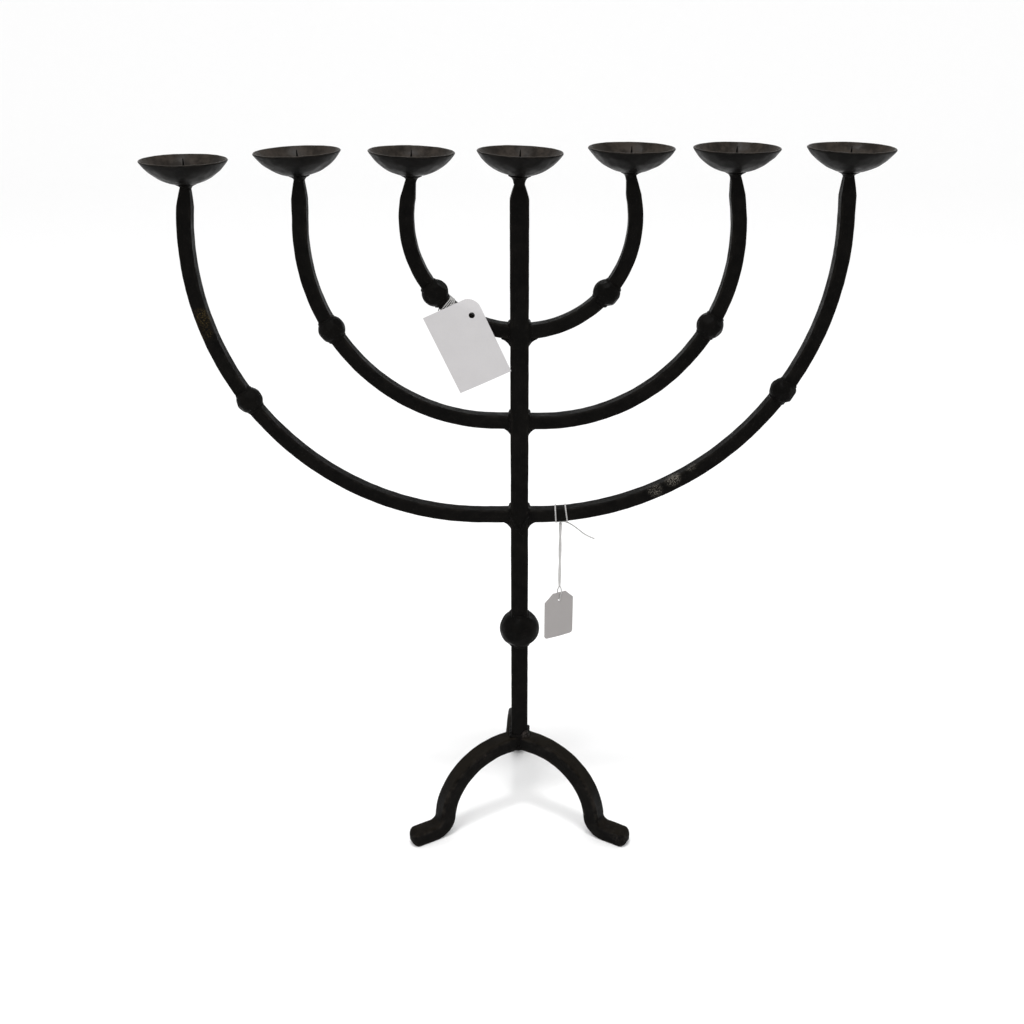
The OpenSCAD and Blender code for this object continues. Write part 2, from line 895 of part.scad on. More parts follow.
ticket_loop();
ticket_knot();
ticket_tail();
ticket_strands();
ticket_eye();
ticket();
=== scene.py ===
import json
import random
from collections import namedtuple
from math import acos, asin, ceil, cos, degrees, pi, radians, sin, sqrt

import bmesh
import bpy
from bpy.props import FloatProperty, FloatVectorProperty, PointerProperty
from mathutils import Matrix, Vector
from mathutils.geometry import delaunay_2d_cdt


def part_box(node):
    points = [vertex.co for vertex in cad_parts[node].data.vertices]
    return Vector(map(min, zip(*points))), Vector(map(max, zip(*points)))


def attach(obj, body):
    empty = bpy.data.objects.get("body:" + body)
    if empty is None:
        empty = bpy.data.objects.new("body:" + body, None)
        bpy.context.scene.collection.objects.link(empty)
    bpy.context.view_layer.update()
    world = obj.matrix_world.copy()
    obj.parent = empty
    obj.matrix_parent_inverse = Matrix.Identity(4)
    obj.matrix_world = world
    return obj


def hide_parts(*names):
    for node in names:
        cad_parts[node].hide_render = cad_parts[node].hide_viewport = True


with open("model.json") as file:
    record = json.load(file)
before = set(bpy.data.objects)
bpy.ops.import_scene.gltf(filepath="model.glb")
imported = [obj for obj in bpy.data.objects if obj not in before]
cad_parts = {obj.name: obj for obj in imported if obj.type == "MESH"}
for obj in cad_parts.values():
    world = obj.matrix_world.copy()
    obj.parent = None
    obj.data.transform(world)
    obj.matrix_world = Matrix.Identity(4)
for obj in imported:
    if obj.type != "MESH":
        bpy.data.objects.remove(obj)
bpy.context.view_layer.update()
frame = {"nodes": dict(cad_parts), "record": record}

bl_info = {
    "name": "Forged Seven-Branch Menorah",
    "version": (1, 0, 0),
    "blender": (4, 5, 0),
    "location": "View3D > Sidebar > Menorah",
    "description": "Builds a hand-forged pricket menorah with its two paper tags",
    "category": "Add Mesh",
}

MM = 0.001
UP = Vector((0, 0, 1))

# Sizes of the iron that the bars are forged from.
STEM_W = 16 * MM
ARM_W = 12.4 * MM
LEG_W = 16 * MM
STEM_CORNER = 1.5 * MM
ARM_CORNER = 1.3 * MM
LEG_CORNER = 2.2 * MM
STEM_NECK = (21 * MM, 9.4 * MM)
ARM_NECK = (20 * MM, 7.2 * MM)
RING_GAP = 1.0 * MM
# The hammer marks only sink the faces, so a bar or ball starts this much thicker.
SWELL = 0.8 * MM

RANKS = ("inner", "middle", "outer")
SIDES = ("left", "right")
PLACES = [f"{side}_{rank}" for side in SIDES for rank in RANKS] + ["centre"]
# How far each riser leans in past upright, in degrees, left and right.
LEAN = {"inner": (11, 10), "middle": (3, 9), "outer": (8, 3)}

# The dish of a pan.
DISH_R = 44 * MM
DISH_FLAT = 0.5 * MM
PAN_DEPTH = 19.5 * MM
PAN_WALL = 1.8 * MM
RIM_R = PAN_WALL / 2
# The hollow fillet under a pan: how far out from the neck, and how far above the seat.
PAN_FILLET = [(0.2, -7), (0.5, -5), (1.1, -3.2), (2.2, -1.6), (4.2, -0.5), (6.4, 0.3)]

# The base.
LEG_BEND_R = 70 * MM
LEG_REACH = 89 * MM
TOE_BEND_R = 15 * MM
TOE_L = 18 * MM
FRONT_LEG_TURN = 60
REAR_LEG_TURN = 2.5
REAR_LEG_SHIFT = -6 * MM

# The camera: where it stands, in millimetres from the stem's foot, and how many degrees down it looks.
CAMERA_PLACE = (0, -1000, 812.5)
CAMERA_DOWN = 24.3
CAMERA_SHIFT = (-0.0073, -0.0117)
SENSOR_MM = 36
LENS_MM = 40.43

# The string and the tags.
STRING_D = 1.1 * MM
CARD_LEAN = radians(24.5)
CARD_SIZE = (50.6 * MM, 76.4 * MM)
CARD_CORNER = 11 * MM
CARD_HOLE = (40.4 * MM, 61 * MM)
CARD_HOLE_R = 2.75 * MM
TICKET_SIZE = (32 * MM, 50 * MM)
TICKET_CLIP = 9 * MM
TICKET_CORNER = 3 * MM
TICKET_HOLE_DOWN = 8 * MM
TICKET_TURN = radians(27)
TIE_AT = radians(49)

# The free tail of the ticket's string, from the knot.
TAIL_ROUTE = [
    (1.5, -0.4, 0), (4, -1, 0.4), (7, -1.6, -0.4), (10, -2, -2), (13, -2, -4), (16, -2, -6.4),
    (19, -2, -9), (22, -2, -11.6), (25, -2, -13.6), (28, -2, -15.2), (31, -2, -16.6),
    (33, -2, -17.4),
]
# One half of the eye that holds the ticket, from the middle of the ticket's hole.
EYE_HALF = [
    (0, -0.1, 0), (0.1, -0.8, 0.4), (0.4, -1, 1.6), (0.8, -1, 4), (1.3, -1, 7),
    (1.7, -0.8, 9.4), (1.6, -0.5, 11.6), (0.9, -0.2, 13.6), (0, 0, 14.4),
]
# The string that the card hangs on, from where it leaves the arm.
CARD_STRING_ROUTE = [
    (0, 0, 0), (1.5, -0.05, 0.4), (3, -0.1, 0.8), (4.5, -0.15, 1), (6, -0.15, 1), (7.5, -0.15, 0.8),
]


def middle(node):
    """The middle of a frame node's box."""
    low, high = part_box(node)
    return (low + high) / 2


STEM = middle("stem").to_2d()
STEM_AXIS = Vector((STEM.x, STEM.y, 0))


# ---------------------------------------------------------------- settings


class ForgedIronSettings(bpy.types.PropertyGroup):
    """Sizes of the hammer work, and the colours of the iron."""

    dent_width: FloatProperty(
        name="Dent Width", description="Width of one hammer mark", default=11 * MM, unit="LENGTH"
    )
    dent_depth: FloatProperty(
        name="Dent Depth", description="Depth of one hammer mark", default=0.17 * MM, unit="LENGTH"
    )
    waver: FloatProperty(
        name="Waver", description="How far a bar strays from true", default=0.22 * MM, unit="LENGTH"
    )
    pan_dent_depth: FloatProperty(
        name="Pan Dent Depth",
        description="Depth of the marks that sank the pans",
        default=0.3 * MM,
        unit="LENGTH",
    )
    iron: FloatVectorProperty(
        name="Iron", description="Blackened iron", default=(0.0018, 0.0016, 0.0014), subtype="COLOR"
    )
    worn: FloatVectorProperty(
        name="Worn Iron",
        description="Iron rubbed bare on its edges",
        default=(0.014, 0.012, 0.010),
        subtype="COLOR",
    )
    # Painted light: this lighter brown is laid on the legs' upward faces, as if lit from above.
    leg_top_light: FloatVectorProperty(
        name="Leg Top Light",
        description="Painted light on the upper faces of the legs",
        default=(0.0075, 0.0060, 0.0042),
        subtype="COLOR",
    )
    # Painted light: the inside of the pans is painted a lighter brown than their undersides, as if lit from
    # above; the brown hue is the iron's own.
    pan_inside_tone_and_light: FloatVectorProperty(
        name="Pan Inside",
        description="Brown iron inside the pans",
        default=(0.024, 0.0195, 0.016),
        subtype="COLOR",
    )
    weld: FloatVectorProperty(
        name="Weld", description="Weld metal", default=(0.0036, 0.0031, 0.0027), subtype="COLOR"
    )


class TagSettings(bpy.types.PropertyGroup):
    """Colours and curl of the tags, and the lay of their string."""

    card: FloatVectorProperty(
        name="Card", description="White card", default=(0.49, 0.478, 0.482), subtype="COLOR"
    )
    # Painted shade: the ticket's board is the card's, painted darker to stand in for the shade it hangs in.
    ticket: FloatVectorProperty(
        name="Ticket", description="Board painted darker as shade", default=(0.31, 0.295, 0.29), subtype="COLOR"
    )
    string: FloatVectorProperty(
        name="String", description="Cotton string", default=(0.58, 0.57, 0.56), subtype="COLOR"
    )
    curl_radius: FloatProperty(
        name="Curl Radius", description="Radius of the card's curled corner", default=10 * MM,
        unit="LENGTH",
    )
    lay_length: FloatProperty(
        name="Lay Length", description="Length of one turn of the string's two plies",
        default=3.6 * MM, unit="LENGTH",
    )


class StudioSettings(bpy.types.PropertyGroup):
    """The floor and the light."""

    floor: FloatVectorProperty(
        name="Floor", description="White paper sweep", default=(0.96, 0.96, 0.96), subtype="COLOR"
    )
    room: FloatProperty(
        name="Room Light", description="Brightness of the white room", default=1.02, min=0
    )
    key: FloatProperty(
        name="Key", description="Power of the lamp overhead", default=16, min=0, unit="POWER"
    )
    fill: FloatProperty(
        name="Fill", description="Power of the soft box at front left", default=5, min=0,
        unit="POWER",
    )


# ---------------------------------------------------------------- node helpers


def feed(tree, socket, value):
    """Links a socket to an input, or sets the input to a value."""
    if isinstance(value, bpy.types.NodeSocket):
        tree.links.new(value, socket)
    else:
        socket.default_value = value


def put(tree, kind, inputs=None, **settings):
    """A new node. Its inputs are given by name or number, as values or as sockets to link."""
    node = tree.nodes.new(kind)
    for name, value in settings.items():
        setattr(node, name, value)
    for key, value in (inputs or {}).items():
        feed(tree, node.inputs[key], value)
    return node


def calc(tree, operation, *values, clamp=False):
    """The output of a Math node."""
    inputs = dict(enumerate(values))
    return put(tree, "ShaderNodeMath", inputs, operation=operation, use_clamp=clamp).outputs[0]


def vector_calc(tree, operation, *values):
    """The output of a Vector Math node with two inputs."""
    return put(tree, "ShaderNodeVectorMath", dict(enumerate(values)), operation=operation).outputs[0]


def scaled(tree, vector, factor):
    """A vector times a number."""
    node = put(tree, "ShaderNodeVectorMath", {0: vector, "Scale": factor}, operation="SCALE")
    return node.outputs[0]


def spread(tree, value, low, high, start=0.0, end=1.0, smooth=False):
    """Maps low..high to start..end, clamped."""
    inputs = {"Value": value, "From Min": low, "From Max": high, "To Min": start, "To Max": end}
    kind = "SMOOTHSTEP" if smooth else "LINEAR"
    return put(tree, "ShaderNodeMapRange", inputs, interpolation_type=kind).outputs["Result"]


def blend_colours(tree, factor, a, b):
    """Mixes two colours. The Mix node's colour sockets come after its numbers and vectors."""
    node = put(tree, "ShaderNodeMix", {0: factor, 6: a, 7: b}, data_type="RGBA")
    return node.outputs[2]


def noise(tree, vector, scale, detail, roughness=0.5, distortion=0.0):
    """Cloudy noise from 0 to 1."""
    inputs = {
        "Vector": vector,
        "Scale": scale,
        "Detail": detail,
        "Roughness": roughness,
        "Distortion": distortion,
    }
    return put(tree, "ShaderNodeTexNoise", inputs).outputs[0]


def attribute(tree, name):
    """A number stored on the mesh, for a material."""
    return put(tree, "ShaderNodeAttribute", attribute_name=name).outputs["Fac"]


def stored(tree, geometry, name, value):
    """Stores a number on every point of a geometry."""
    inputs = {"Geometry": geometry, "Name": name, "Value": value}
    kind = "GeometryNodeStoreNamedAttribute"
    return put(tree, kind, inputs, data_type="FLOAT", domain="POINT").outputs[0]


def new_group(name, kind, inputs, outputs):
    """A node group with named sockets. Returns the tree, its inputs and its output node."""
    tree = bpy.data.node_groups.new(name, kind)
    for label, socket_kind, default in inputs:
        socket = tree.interface.new_socket(name=label, in_out="INPUT", socket_type=socket_kind)
        if default is not None:
            socket.default_value = default
    for label, socket_kind in outputs:
        tree.interface.new_socket(name=label, in_out="OUTPUT", socket_type=socket_kind)
    entry = tree.nodes.new("NodeGroupInput").outputs
    end = tree.nodes.new("NodeGroupOutput").inputs
    return tree, entry, end


FLOAT = "NodeSocketFloat"
VECTOR = "NodeSocketVector"
GEOMETRY = "NodeSocketGeometry"
MATERIAL = "NodeSocketMaterial"
HAMMER_INPUTS = [
    ("Dent Width", FLOAT, 11 * MM),
    ("Dent Depth", FLOAT, 0.3 * MM),
    ("Waver", FLOAT, 0.3 * MM),
    ("Seed", FLOAT, 1.0),
]


# ---------------------------------------------------------------- geometry node trees


def hammer_marks():
    """Shallow round dents over a surface, with ridges between them, on a slow waver."""
    metres_per_seed = 0.173
    dent_radius = 0.62
    wavers_per_dent = 0.3
    ridge_sharpness = 4.0
    inputs = [("Geometry", GEOMETRY, None), *HAMMER_INPUTS]
    inputs += [("Centre", VECTOR, None), ("From Centre", FLOAT, 0.0)]
    tree, entry, end = new_group(
        "Hammer Marks", "GeometryNodeTree", inputs, [("Geometry", GEOMETRY)]
    )
    place = put(tree, "GeometryNodeInputPosition").outputs[0]
    shift = calc(tree, "MULTIPLY", entry["Seed"], metres_per_seed)
    moved = vector_calc(tree, "ADD", place, shift)
    cells = put(
        tree,
        "ShaderNodeTexVoronoi",
        {
            "Vector": moved,
            "Scale": calc(tree, "DIVIDE", 1.0, entry["Dent Width"]),
            "Smoothness": 0.25,
            "Randomness": 0.9,
        },
        feature="SMOOTH_F1",
    ).outputs["Distance"]
    out = calc(tree, "DIVIDE", cells, dent_radius, clamp=True)
    squared = calc(tree, "MULTIPLY", out, out)
    bowl = calc(tree, "SUBTRACT", squared, 1.0)
    slow_scale = calc(tree, "DIVIDE", wavers_per_dent, entry["Dent Width"])
    slow = noise(tree, moved, slow_scale, 1.0)
    waver = calc(tree, "MULTIPLY", calc(tree, "SUBTRACT", slow, 0.5), 2.0)
    dent = calc(tree, "MULTIPLY", bowl, entry["Dent Depth"])
    amount = calc(tree, "MULTIPLY_ADD", waver, entry["Waver"], dent)
    outward = vector_calc(tree, "SUBTRACT", place, entry["Centre"])
    outward = vector_calc(tree, "NORMALIZE", outward)
    normal = put(tree, "GeometryNodeInputNormal").outputs[0]
    direction = put(
        tree, "ShaderNodeMix", {0: entry["From Centre"], 4: normal, 5: outward}, data_type="VECTOR"
    ).outputs[1]
    ridge = calc(tree, "POWER", out, ridge_sharpness)
    marked = stored(tree, entry["Geometry"], "ridge", ridge)
    shaped = put(
        tree,
        "GeometryNodeSetPosition",
        {"Geometry": marked, "Offset": scaled(tree, direction, amount)},
    ).outputs[0]
    tree.links.new(shaped, end["Geometry"])
    return tree


def finish_tree(tree, geometry, entry, end):
    """Ends a tree: realized, smooth, and in its material."""
    smooth = put(tree, "GeometryNodeSetShadeSmooth", {"Geometry": geometry}).outputs[0]
    real = put(tree, "GeometryNodeRealizeInstances", {"Geometry": smooth}).outputs[0]
    dressed = put(
        tree, "GeometryNodeSetMaterial", {"Geometry": real, "Material": entry["Material"]}
    ).outputs[0]
    tree.links.new(dressed, end["Geometry"])


def hammered(tree, geometry, entry, *more):
    """Adds the hammer marks with this tree's own inputs, and any more that are named."""
    inputs = {name: entry[name] for name in (*[row[0] for row in HAMMER_INPUTS], *more)}
    inputs["Geometry"] = geometry
    return put(tree, "GeometryNodeGroup", inputs, node_tree=TREES["marks"]).outputs[0]


def forged_bar():
    """A square bar along a line, drawn down to a neck or rounded to a nose at its end."""
    neck_swell = 0.8
    blunt_tip = 0.012
    points_round = 56
    rubbed_from = -2.2
    rubbed_to = -0.5
    inputs = [
        ("Geometry", GEOMETRY, None),
        ("Width", FLOAT, ARM_W),
        ("Corner", FLOAT, ARM_CORNER),
        ("Neck Length", FLOAT, 16 * MM),
        ("Neck Width", FLOAT, 7 * MM),
        ("Neck Flat", FLOAT, 0.0),
        ("Nose Length", FLOAT, 0.0),
        *HAMMER_INPUTS,
        ("Material", MATERIAL, None),
    ]
    tree, entry, end = new_group(
        "Forged Bar", "GeometryNodeTree", inputs, [("Geometry", GEOMETRY)]
    )
    line = put(tree, "GeometryNodeMeshToCurve", {"Mesh": entry["Geometry"]}).outputs[0]
    along = put(tree, "GeometryNodeSplineParameter").outputs
    total = put(tree, "GeometryNodeSplineLength").outputs["Length"]
    left = calc(tree, "SUBTRACT", total, along["Length"])
    flat = calc(tree, "MULTIPLY", entry["Neck Flat"], entry["Neck Length"])
    above = calc(tree, "SUBTRACT", left, flat)
    span = calc(tree, "SUBTRACT", entry["Neck Length"], flat)
    share = calc(tree, "DIVIDE", above, span, clamp=True)
    share = calc(tree, "POWER", share, neck_swell)
    slim = calc(tree, "DIVIDE", entry["Neck Width"], entry["Width"])
    neck = spread(tree, share, 0.0, 1.0, slim, 1.0)
    nose_length = calc(tree, "MAXIMUM", entry["Nose Length"], 1e-6)
    short = calc(tree, "SUBTRACT", 1.0, calc(tree, "DIVIDE", left, nose_length, clamp=True))
    round_nose = calc(tree, "SUBTRACT", 1.0, calc(tree, "MULTIPLY", short, short))
    nose = calc(tree, "SQRT", calc(tree, "MAXIMUM", round_nose, blunt_tip))
    size = calc(tree, "MULTIPLY", neck, nose)
    line = stored(tree, line, "along", along["Factor"])
    square = put(
        tree,
        "GeometryNodeCurvePrimitiveQuadrilateral",
        {"Width": entry["Width"], "Height": entry["Width"]},
    ).outputs[0]
    square = put(
        tree,
        "GeometryNodeFilletCurve",
        {"Curve": square, "Count": 3, "Radius": entry["Corner"]},
        mode="POLY",
    ).outputs[0]
    square = put(
        tree, "GeometryNodeResampleCurve", {"Curve": square, "Count": points_round}
    ).outputs[0]
    place = put(tree, "GeometryNodeInputPosition").outputs[0]
    sides = put(tree, "ShaderNodeSeparateXYZ", {0: place}).outputs
    nearest = calc(
        tree, "MINIMUM", calc(tree, "ABSOLUTE", sides[0]), calc(tree, "ABSOLUTE", sides[1])
    )
    half = calc(tree, "MULTIPLY", entry["Width"], 0.5)
    edge = spread(
        tree,
        nearest,
        calc(tree, "MULTIPLY_ADD", entry["Corner"], rubbed_from, half),
        calc(tree, "MULTIPLY_ADD", entry["Corner"], rubbed_to, half),
        smooth=True,
    )
    square = stored(tree, square, "edge", edge)
    bar = put(
        tree,
        "GeometryNodeCurveToMesh",
        {"Curve": line, "Profile Curve": square, "Scale": size, "Fill Caps": True},
    ).outputs[0]
    bar = put(tree, "GeometryNodeSetShadeSmooth", {"Geometry": bar}).outputs[0]
    finish_tree(tree, hammered(tree, bar, entry), entry, end)
    return tree


def hammered_piece():
    """Hammer marks on a mesh, along its normals or to and from a centre."""
    inputs = [
        ("Geometry", GEOMETRY, None),
        *HAMMER_INPUTS,
        ("Centre", VECTOR, None),
        ("From Centre", FLOAT, 0.0),
        ("Material", MATERIAL, None),
    ]
    tree, entry, end = new_group(
        "Hammered Piece", "GeometryNodeTree", inputs, [("Geometry", GEOMETRY)]
    )
    smooth = put(tree, "GeometryNodeSetShadeSmooth", {"Geometry": entry["Geometry"]}).outputs[0]
    marked = hammered(tree, smooth, entry, "Centre", "From Centre")
    finish_tree(tree, marked, entry, end)
    return tree


def twisted_string():
    """Two plies laid round each other along a line."""
    inputs = [
        ("Geometry", GEOMETRY, None),
        ("Diameter", FLOAT, STRING_D),
        ("Lay Length", FLOAT, 3.6 * MM),
        ("Ply Fullness", FLOAT, 1.8),
        ("Material", MATERIAL, None),
    ]
    tree, entry, end = new_group(
        "Twisted String", "GeometryNodeTree", inputs, [("Geometry", GEOMETRY)]
    )
    line = put(tree, "GeometryNodeMeshToCurve", {"Mesh": entry["Geometry"]}).outputs[0]
    along = put(tree, "GeometryNodeSplineParameter").outputs
    turns = calc(tree, "DIVIDE", along["Length"], entry["Lay Length"])
    line = put(
        tree,
        "GeometryNodeSetCurveTilt",
        {"Curve": line, "Tilt": calc(tree, "MULTIPLY", turns, 2 * pi)},
    ).outputs[0]
    quarter = calc(tree, "MULTIPLY", entry["Diameter"], 0.25)
    ply = put(
        tree,
        "GeometryNodeCurvePrimitiveCircle",
        {"Resolution": 10, "Radius": calc(tree, "MULTIPLY", quarter, entry["Ply Fullness"])},
    ).outputs[0]
    join = tree.nodes.new("GeometryNodeJoinGeometry")
    for side in (-1, 1):
        offset = put(
            tree, "ShaderNodeCombineXYZ", {0: calc(tree, "MULTIPLY", quarter, side * 0.9)}
        ).outputs[0]
        moved = put(
            tree, "GeometryNodeTransform", {"Geometry": ply, "Translation": offset}
        ).outputs[0]
        tree.links.new(moved, join.inputs[0])
    string = put(
        tree,
        "GeometryNodeCurveToMesh",
        {"Curve": line, "Profile Curve": join.outputs[0], "Fill Caps": True},
    ).outputs[0]
    finish_tree(tree, string, entry, end)
    return tree


TREES = {}


def make_trees():
    """Builds the geometry node trees once."""
    if not TREES:
        TREES["marks"] = hammer_marks()
        TREES["bar"] = forged_bar()
        TREES["piece"] = hammered_piece()
        TREES["string"] = twisted_string()


# ---------------------------------------------------------------- mesh helpers


def placed_object(name, mesh):
    """A new object with this mesh, in the scene."""
    obj = bpy.data.objects.new(name, mesh)
    bpy.context.scene.collection.objects.link(obj)
    return obj


def plain_mesh(obj):
    """The mesh that an object's modifiers make of it, on a new object that takes its name."""
    name = obj.name
    depsgraph = bpy.context.evaluated_depsgraph_get()
    mesh = bpy.data.meshes.new_from_object(
        obj.evaluated_get(depsgraph), preserve_all_data_layers=True, depsgraph=depsgraph
    )
    bpy.data.objects.remove(obj)
    mesh.name = name
    return placed_object(name, mesh)


def grown(name, tree, values, mesh):
    """What a geometry node tree makes of a mesh, as a plain mesh."""
    source = placed_object(name, mesh)
    modifier = source.modifiers.new("Grow", "NODES")
    modifier.node_group = TREES[tree]
    sockets = {i.name: i.identifier for i in TREES[tree].interface.items_tree if i.in_out == "INPUT"}
    for label, value in values.items():
        modifier[sockets[label]] = value
    made = plain_mesh(source)
    made.name = name
    return made


def marks(dent, sink, waver, seed, material, **more):
    """The inputs of a tree that makes hammer marks, of width dent and depth sink, and any more."""
    values = {
        "Dent Width": dent,
        "Dent Depth": sink,
        "Waver": waver,
        "Seed": float(seed),
        "Material": finish(material),
    }
    values.update({label.replace("_", " ").title(): value for label, value in more.items()})
    return values


def line_mesh(points):
    """A mesh of one open line."""
    mesh = bpy.data.meshes.new("line")
    mesh.from_pydata([tuple(p) for p in points], [(i, i + 1) for i in range(len(points) - 1)], [])
    return mesh


def mesh_from(bm, name):
    """A mesh from a bmesh, with its normals pointing outwards."""
    bmesh.ops.recalc_face_normals(bm, faces=bm.faces)
    mesh = bpy.data.meshes.new(name)
    bm.to_mesh(mesh)
    bm.free()
    return mesh


def outward(obj):
    """Turns a closed mesh's faces outwards."""
    bm = bmesh.new()
    bm.from_mesh(obj.data)
    if bm.calc_volume(signed=True) < 0:
        bmesh.ops.reverse_faces(bm, faces=bm.faces)
        bm.to_mesh(obj.data)
    bm.free()
    return obj


def finished(obj, body, slot, *nodes):
    """Rides a piece on its body and lets it stand for its frame nodes. The slot is not used."""
    outward(obj)
    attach(obj, body)
    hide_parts(*nodes)
    return obj


def turned(outline, steps, place, inside_from=None):
    """A shape of revolution from (radius, height) points, stood on the matrix place.

    Points from number inside_from on are marked as the inside of a dish.
    """
    bm = bmesh.new()
    inside = bm.verts.layers.float.new("inside")
    edge = bm.verts.layers.float.new("edge")
    angles = [2 * pi * i / steps for i in range(steps)]
    rings = []
    for number, (r, h) in enumerate(outline):
        if r < 1e-7:
            ring = [bm.verts.new((0, 0, h))]
        else:
            ring = [bm.verts.new((r * cos(a), r * sin(a), h)) for a in angles]
        for vertex in ring:
            if inside_from is not None and number >= inside_from:
                vertex[inside] = 1.0
            if inside_from is not None and abs(number - inside_from) <= 3:
                vertex[edge] = 1.0
        rings.append(ring)
    for lower, upper in zip(rings, rings[1:]):
        for i in range(steps):
            j = (i + 1) % steps
            corners = [
                lower[i % len(lower)], lower[j % len(lower)],
                upper[j % len(upper)], upper[i % len(upper)],
            ]
            bm.faces.new(list(dict.fromkeys(corners)))
    bmesh.ops.transform(bm, matrix=place, verts=bm.verts)
    return mesh_from(bm, "turned")


def arc(centre, r, start, end, gap=RING_GAP):
    """Points (x, z) round an arc, in degrees from +X, a gap apart."""
    count = max(2, ceil(abs(radians(end - start)) * r / gap))
    angles = [radians(start + (end - start) * i / count) for i in range(count + 1)]
    return [(centre[0] + r * cos(a), centre[1] + r * sin(a)) for a in angles]


def straight(start, end, gap=RING_GAP):
    """Points along a straight line, a gap apart."""
    a = Vector(start)
    b = Vector(end)
    count = max(1, ceil((b - a).length / gap))
    return [tuple(a.lerp(b, i / count)) for i in range(count + 1)]


def chained(*runs):
    """Runs of points joined end to end, without the doubled points."""
    points = list(runs[0])
    for run in runs[1:]:
        points += run[1:]
    return points


def eased(route, gap):
    """A smooth curve through a route's points, cut into even steps."""
    knots = [Vector(p) for p in route]
    knots = [2 * knots[0] - knots[1], *knots, 2 * knots[-1] - knots[-2]]
    fine = []
    for p0, p1, p2, p3 in zip(knots, knots[1:], knots[2:], knots[3:]):
        for i in range(16):
            t = i / 16
            a = 2 * p1 + (p2 - p0) * t
            b = (2 * p0 - 5 * p1 + 4 * p2 - p3) * t * t
            c = (3 * p1 - p0 - 3 * p2 + p3) * t * t * t
            fine.append((a + b + c) / 2)
    fine.append(knots[-2])
    points = [fine[0]]
    travelled = 0.0
    for a, b in zip(fine, fine[1:]):
        travelled += (b - a).length
        if travelled >= gap:
            points.append(b)
            travelled = 0.0
    if (points[-1] - fine[-1]).length < gap / 3:
        points.pop()
    points.append(fine[-1])
    return points


# ---------------------------------------------------------------- shared finishes


def shader_group(name, inputs, outputs):
    """A shader node group with named sockets."""
    return new_group(name, "ShaderNodeTree", inputs, outputs)


def object_place(tree):
    """Object coordinates."""
    return put(tree, "ShaderNodeTexCoord").outputs["Object"]


def patina_group():
    """Cloudy patches and fine speckle in the black on the iron."""
    tree, entry, end = shader_group(
        "Patina",
        [("Vector", VECTOR, None), ("Patch Size", FLOAT, 22 * MM)],
        [("Clouds", FLOAT), ("Speckle", FLOAT)],
    )
    patches = calc(tree, "DIVIDE", 1.0, entry["Patch Size"])
    clouds = noise(tree, entry["Vector"], patches, 5.0, 0.62, distortion=0.5)
    speckle = noise(tree, entry["Vector"], 900.0, 3.0, 0.7)
    tree.links.new(spread(tree, clouds, 0.38, 0.68, smooth=True), end["Clouds"])
    tree.links.new(spread(tree, speckle, 0.52, 0.72), end["Speckle"])
    return tree


def wear_group():
    """Where the iron is rubbed bare: its edges and the ridges between hammer marks."""
    tree, entry, end = shader_group(
        "Worn Edges",
        [("Vector", VECTOR, None), ("Edges", FLOAT, 0.7), ("Ridges", FLOAT, 0.3)],
        [("Wear", FLOAT)],
    )
    edge = attribute(tree, "edge")
    ridge = attribute(tree, "ridge")
    patches = noise(tree, entry["Vector"], 130.0, 4.0, 0.65)
    patches = spread(tree, patches, 0.38, 0.66, smooth=True)
    on_edges = calc(tree, "MULTIPLY", edge, entry["Edges"])
    on_ridges = calc(tree, "MULTIPLY", ridge, entry["Ridges"])
    wear = calc(tree, "MULTIPLY", calc(tree, "MAXIMUM", on_edges, on_ridges), patches, clamp=True)
    tree.links.new(wear, end["Wear"])
    return tree


def scale_group():
    """The skin of forged iron: fire scale and pits, as a height."""
    tree, entry, end = shader_group(
        "Forge Scale",
        [("Vector", VECTOR, None), ("Grain Size", FLOAT, 1.6 * MM), ("Pits", FLOAT, 0.6)],
        [("Height", FLOAT)],
    )
    grain = calc(tree, "DIVIDE", 1.0, entry["Grain Size"])
    scale = noise(tree, entry["Vector"], grain, 6.0, 0.6)
    cells = put(
        tree,
        "ShaderNodeTexVoronoi",
        {"Vector": entry["Vector"], "Scale": calc(tree, "MULTIPLY", grain, 0.9)},
    ).outputs["Distance"]
    pits = calc(tree, "MULTIPLY", spread(tree, cells, 0.0, 0.3), entry["Pits"])
    tree.links.new(calc(tree, "ADD", scale, pits), end["Height"])
    return tree


def fleck_group():
    """A patch of small bright flecks about a point."""
    tree, entry, end = shader_group(
        "Flecks",
        [
            ("Vector", VECTOR, None),
            ("Centre", VECTOR, None),
            ("Reach", FLOAT, 10 * MM),
            ("Fleck Size", FLOAT, 1.2 * MM),
            ("Cover", FLOAT, 0.5),
        ],
        [("Flecks", FLOAT)],
    )
    away = put(
        tree, "ShaderNodeVectorMath", {0: entry["Vector"], 1: entry["Centre"]}, operation="DISTANCE"
    ).outputs["Value"]
    near = spread(tree, calc(tree, "DIVIDE", away, entry["Reach"]), 0.4, 1.0, 1.0, 0.0, smooth=True)
    fineness = calc(tree, "DIVIDE", 1.0, entry["Fleck Size"])
    specks = noise(tree, entry["Vector"], fineness, 3.0, 0.6, distortion=0.8)
    limit = calc(tree, "MULTIPLY_ADD", entry["Cover"], -0.3, 0.72)
    over = calc(tree, "SUBTRACT", specks, limit)
    flecks = calc(tree, "MULTIPLY", calc(tree, "MULTIPLY", over, 18.0, clamp=True), near)
    tree.links.new(flecks, end["Flecks"])
    return tree


GROUPS = {}


def shared(tree, name, inputs):
    """Places one of the shared finish groups in a material."""
    if not GROUPS:
        GROUPS["patina"] = patina_group()
        GROUPS["wear"] = wear_group()
        GROUPS["scale"] = scale_group()
        GROUPS["flecks"] = fleck_group()
    return put(tree, "ShaderNodeGroup", inputs, node_tree=GROUPS[name]).outputs


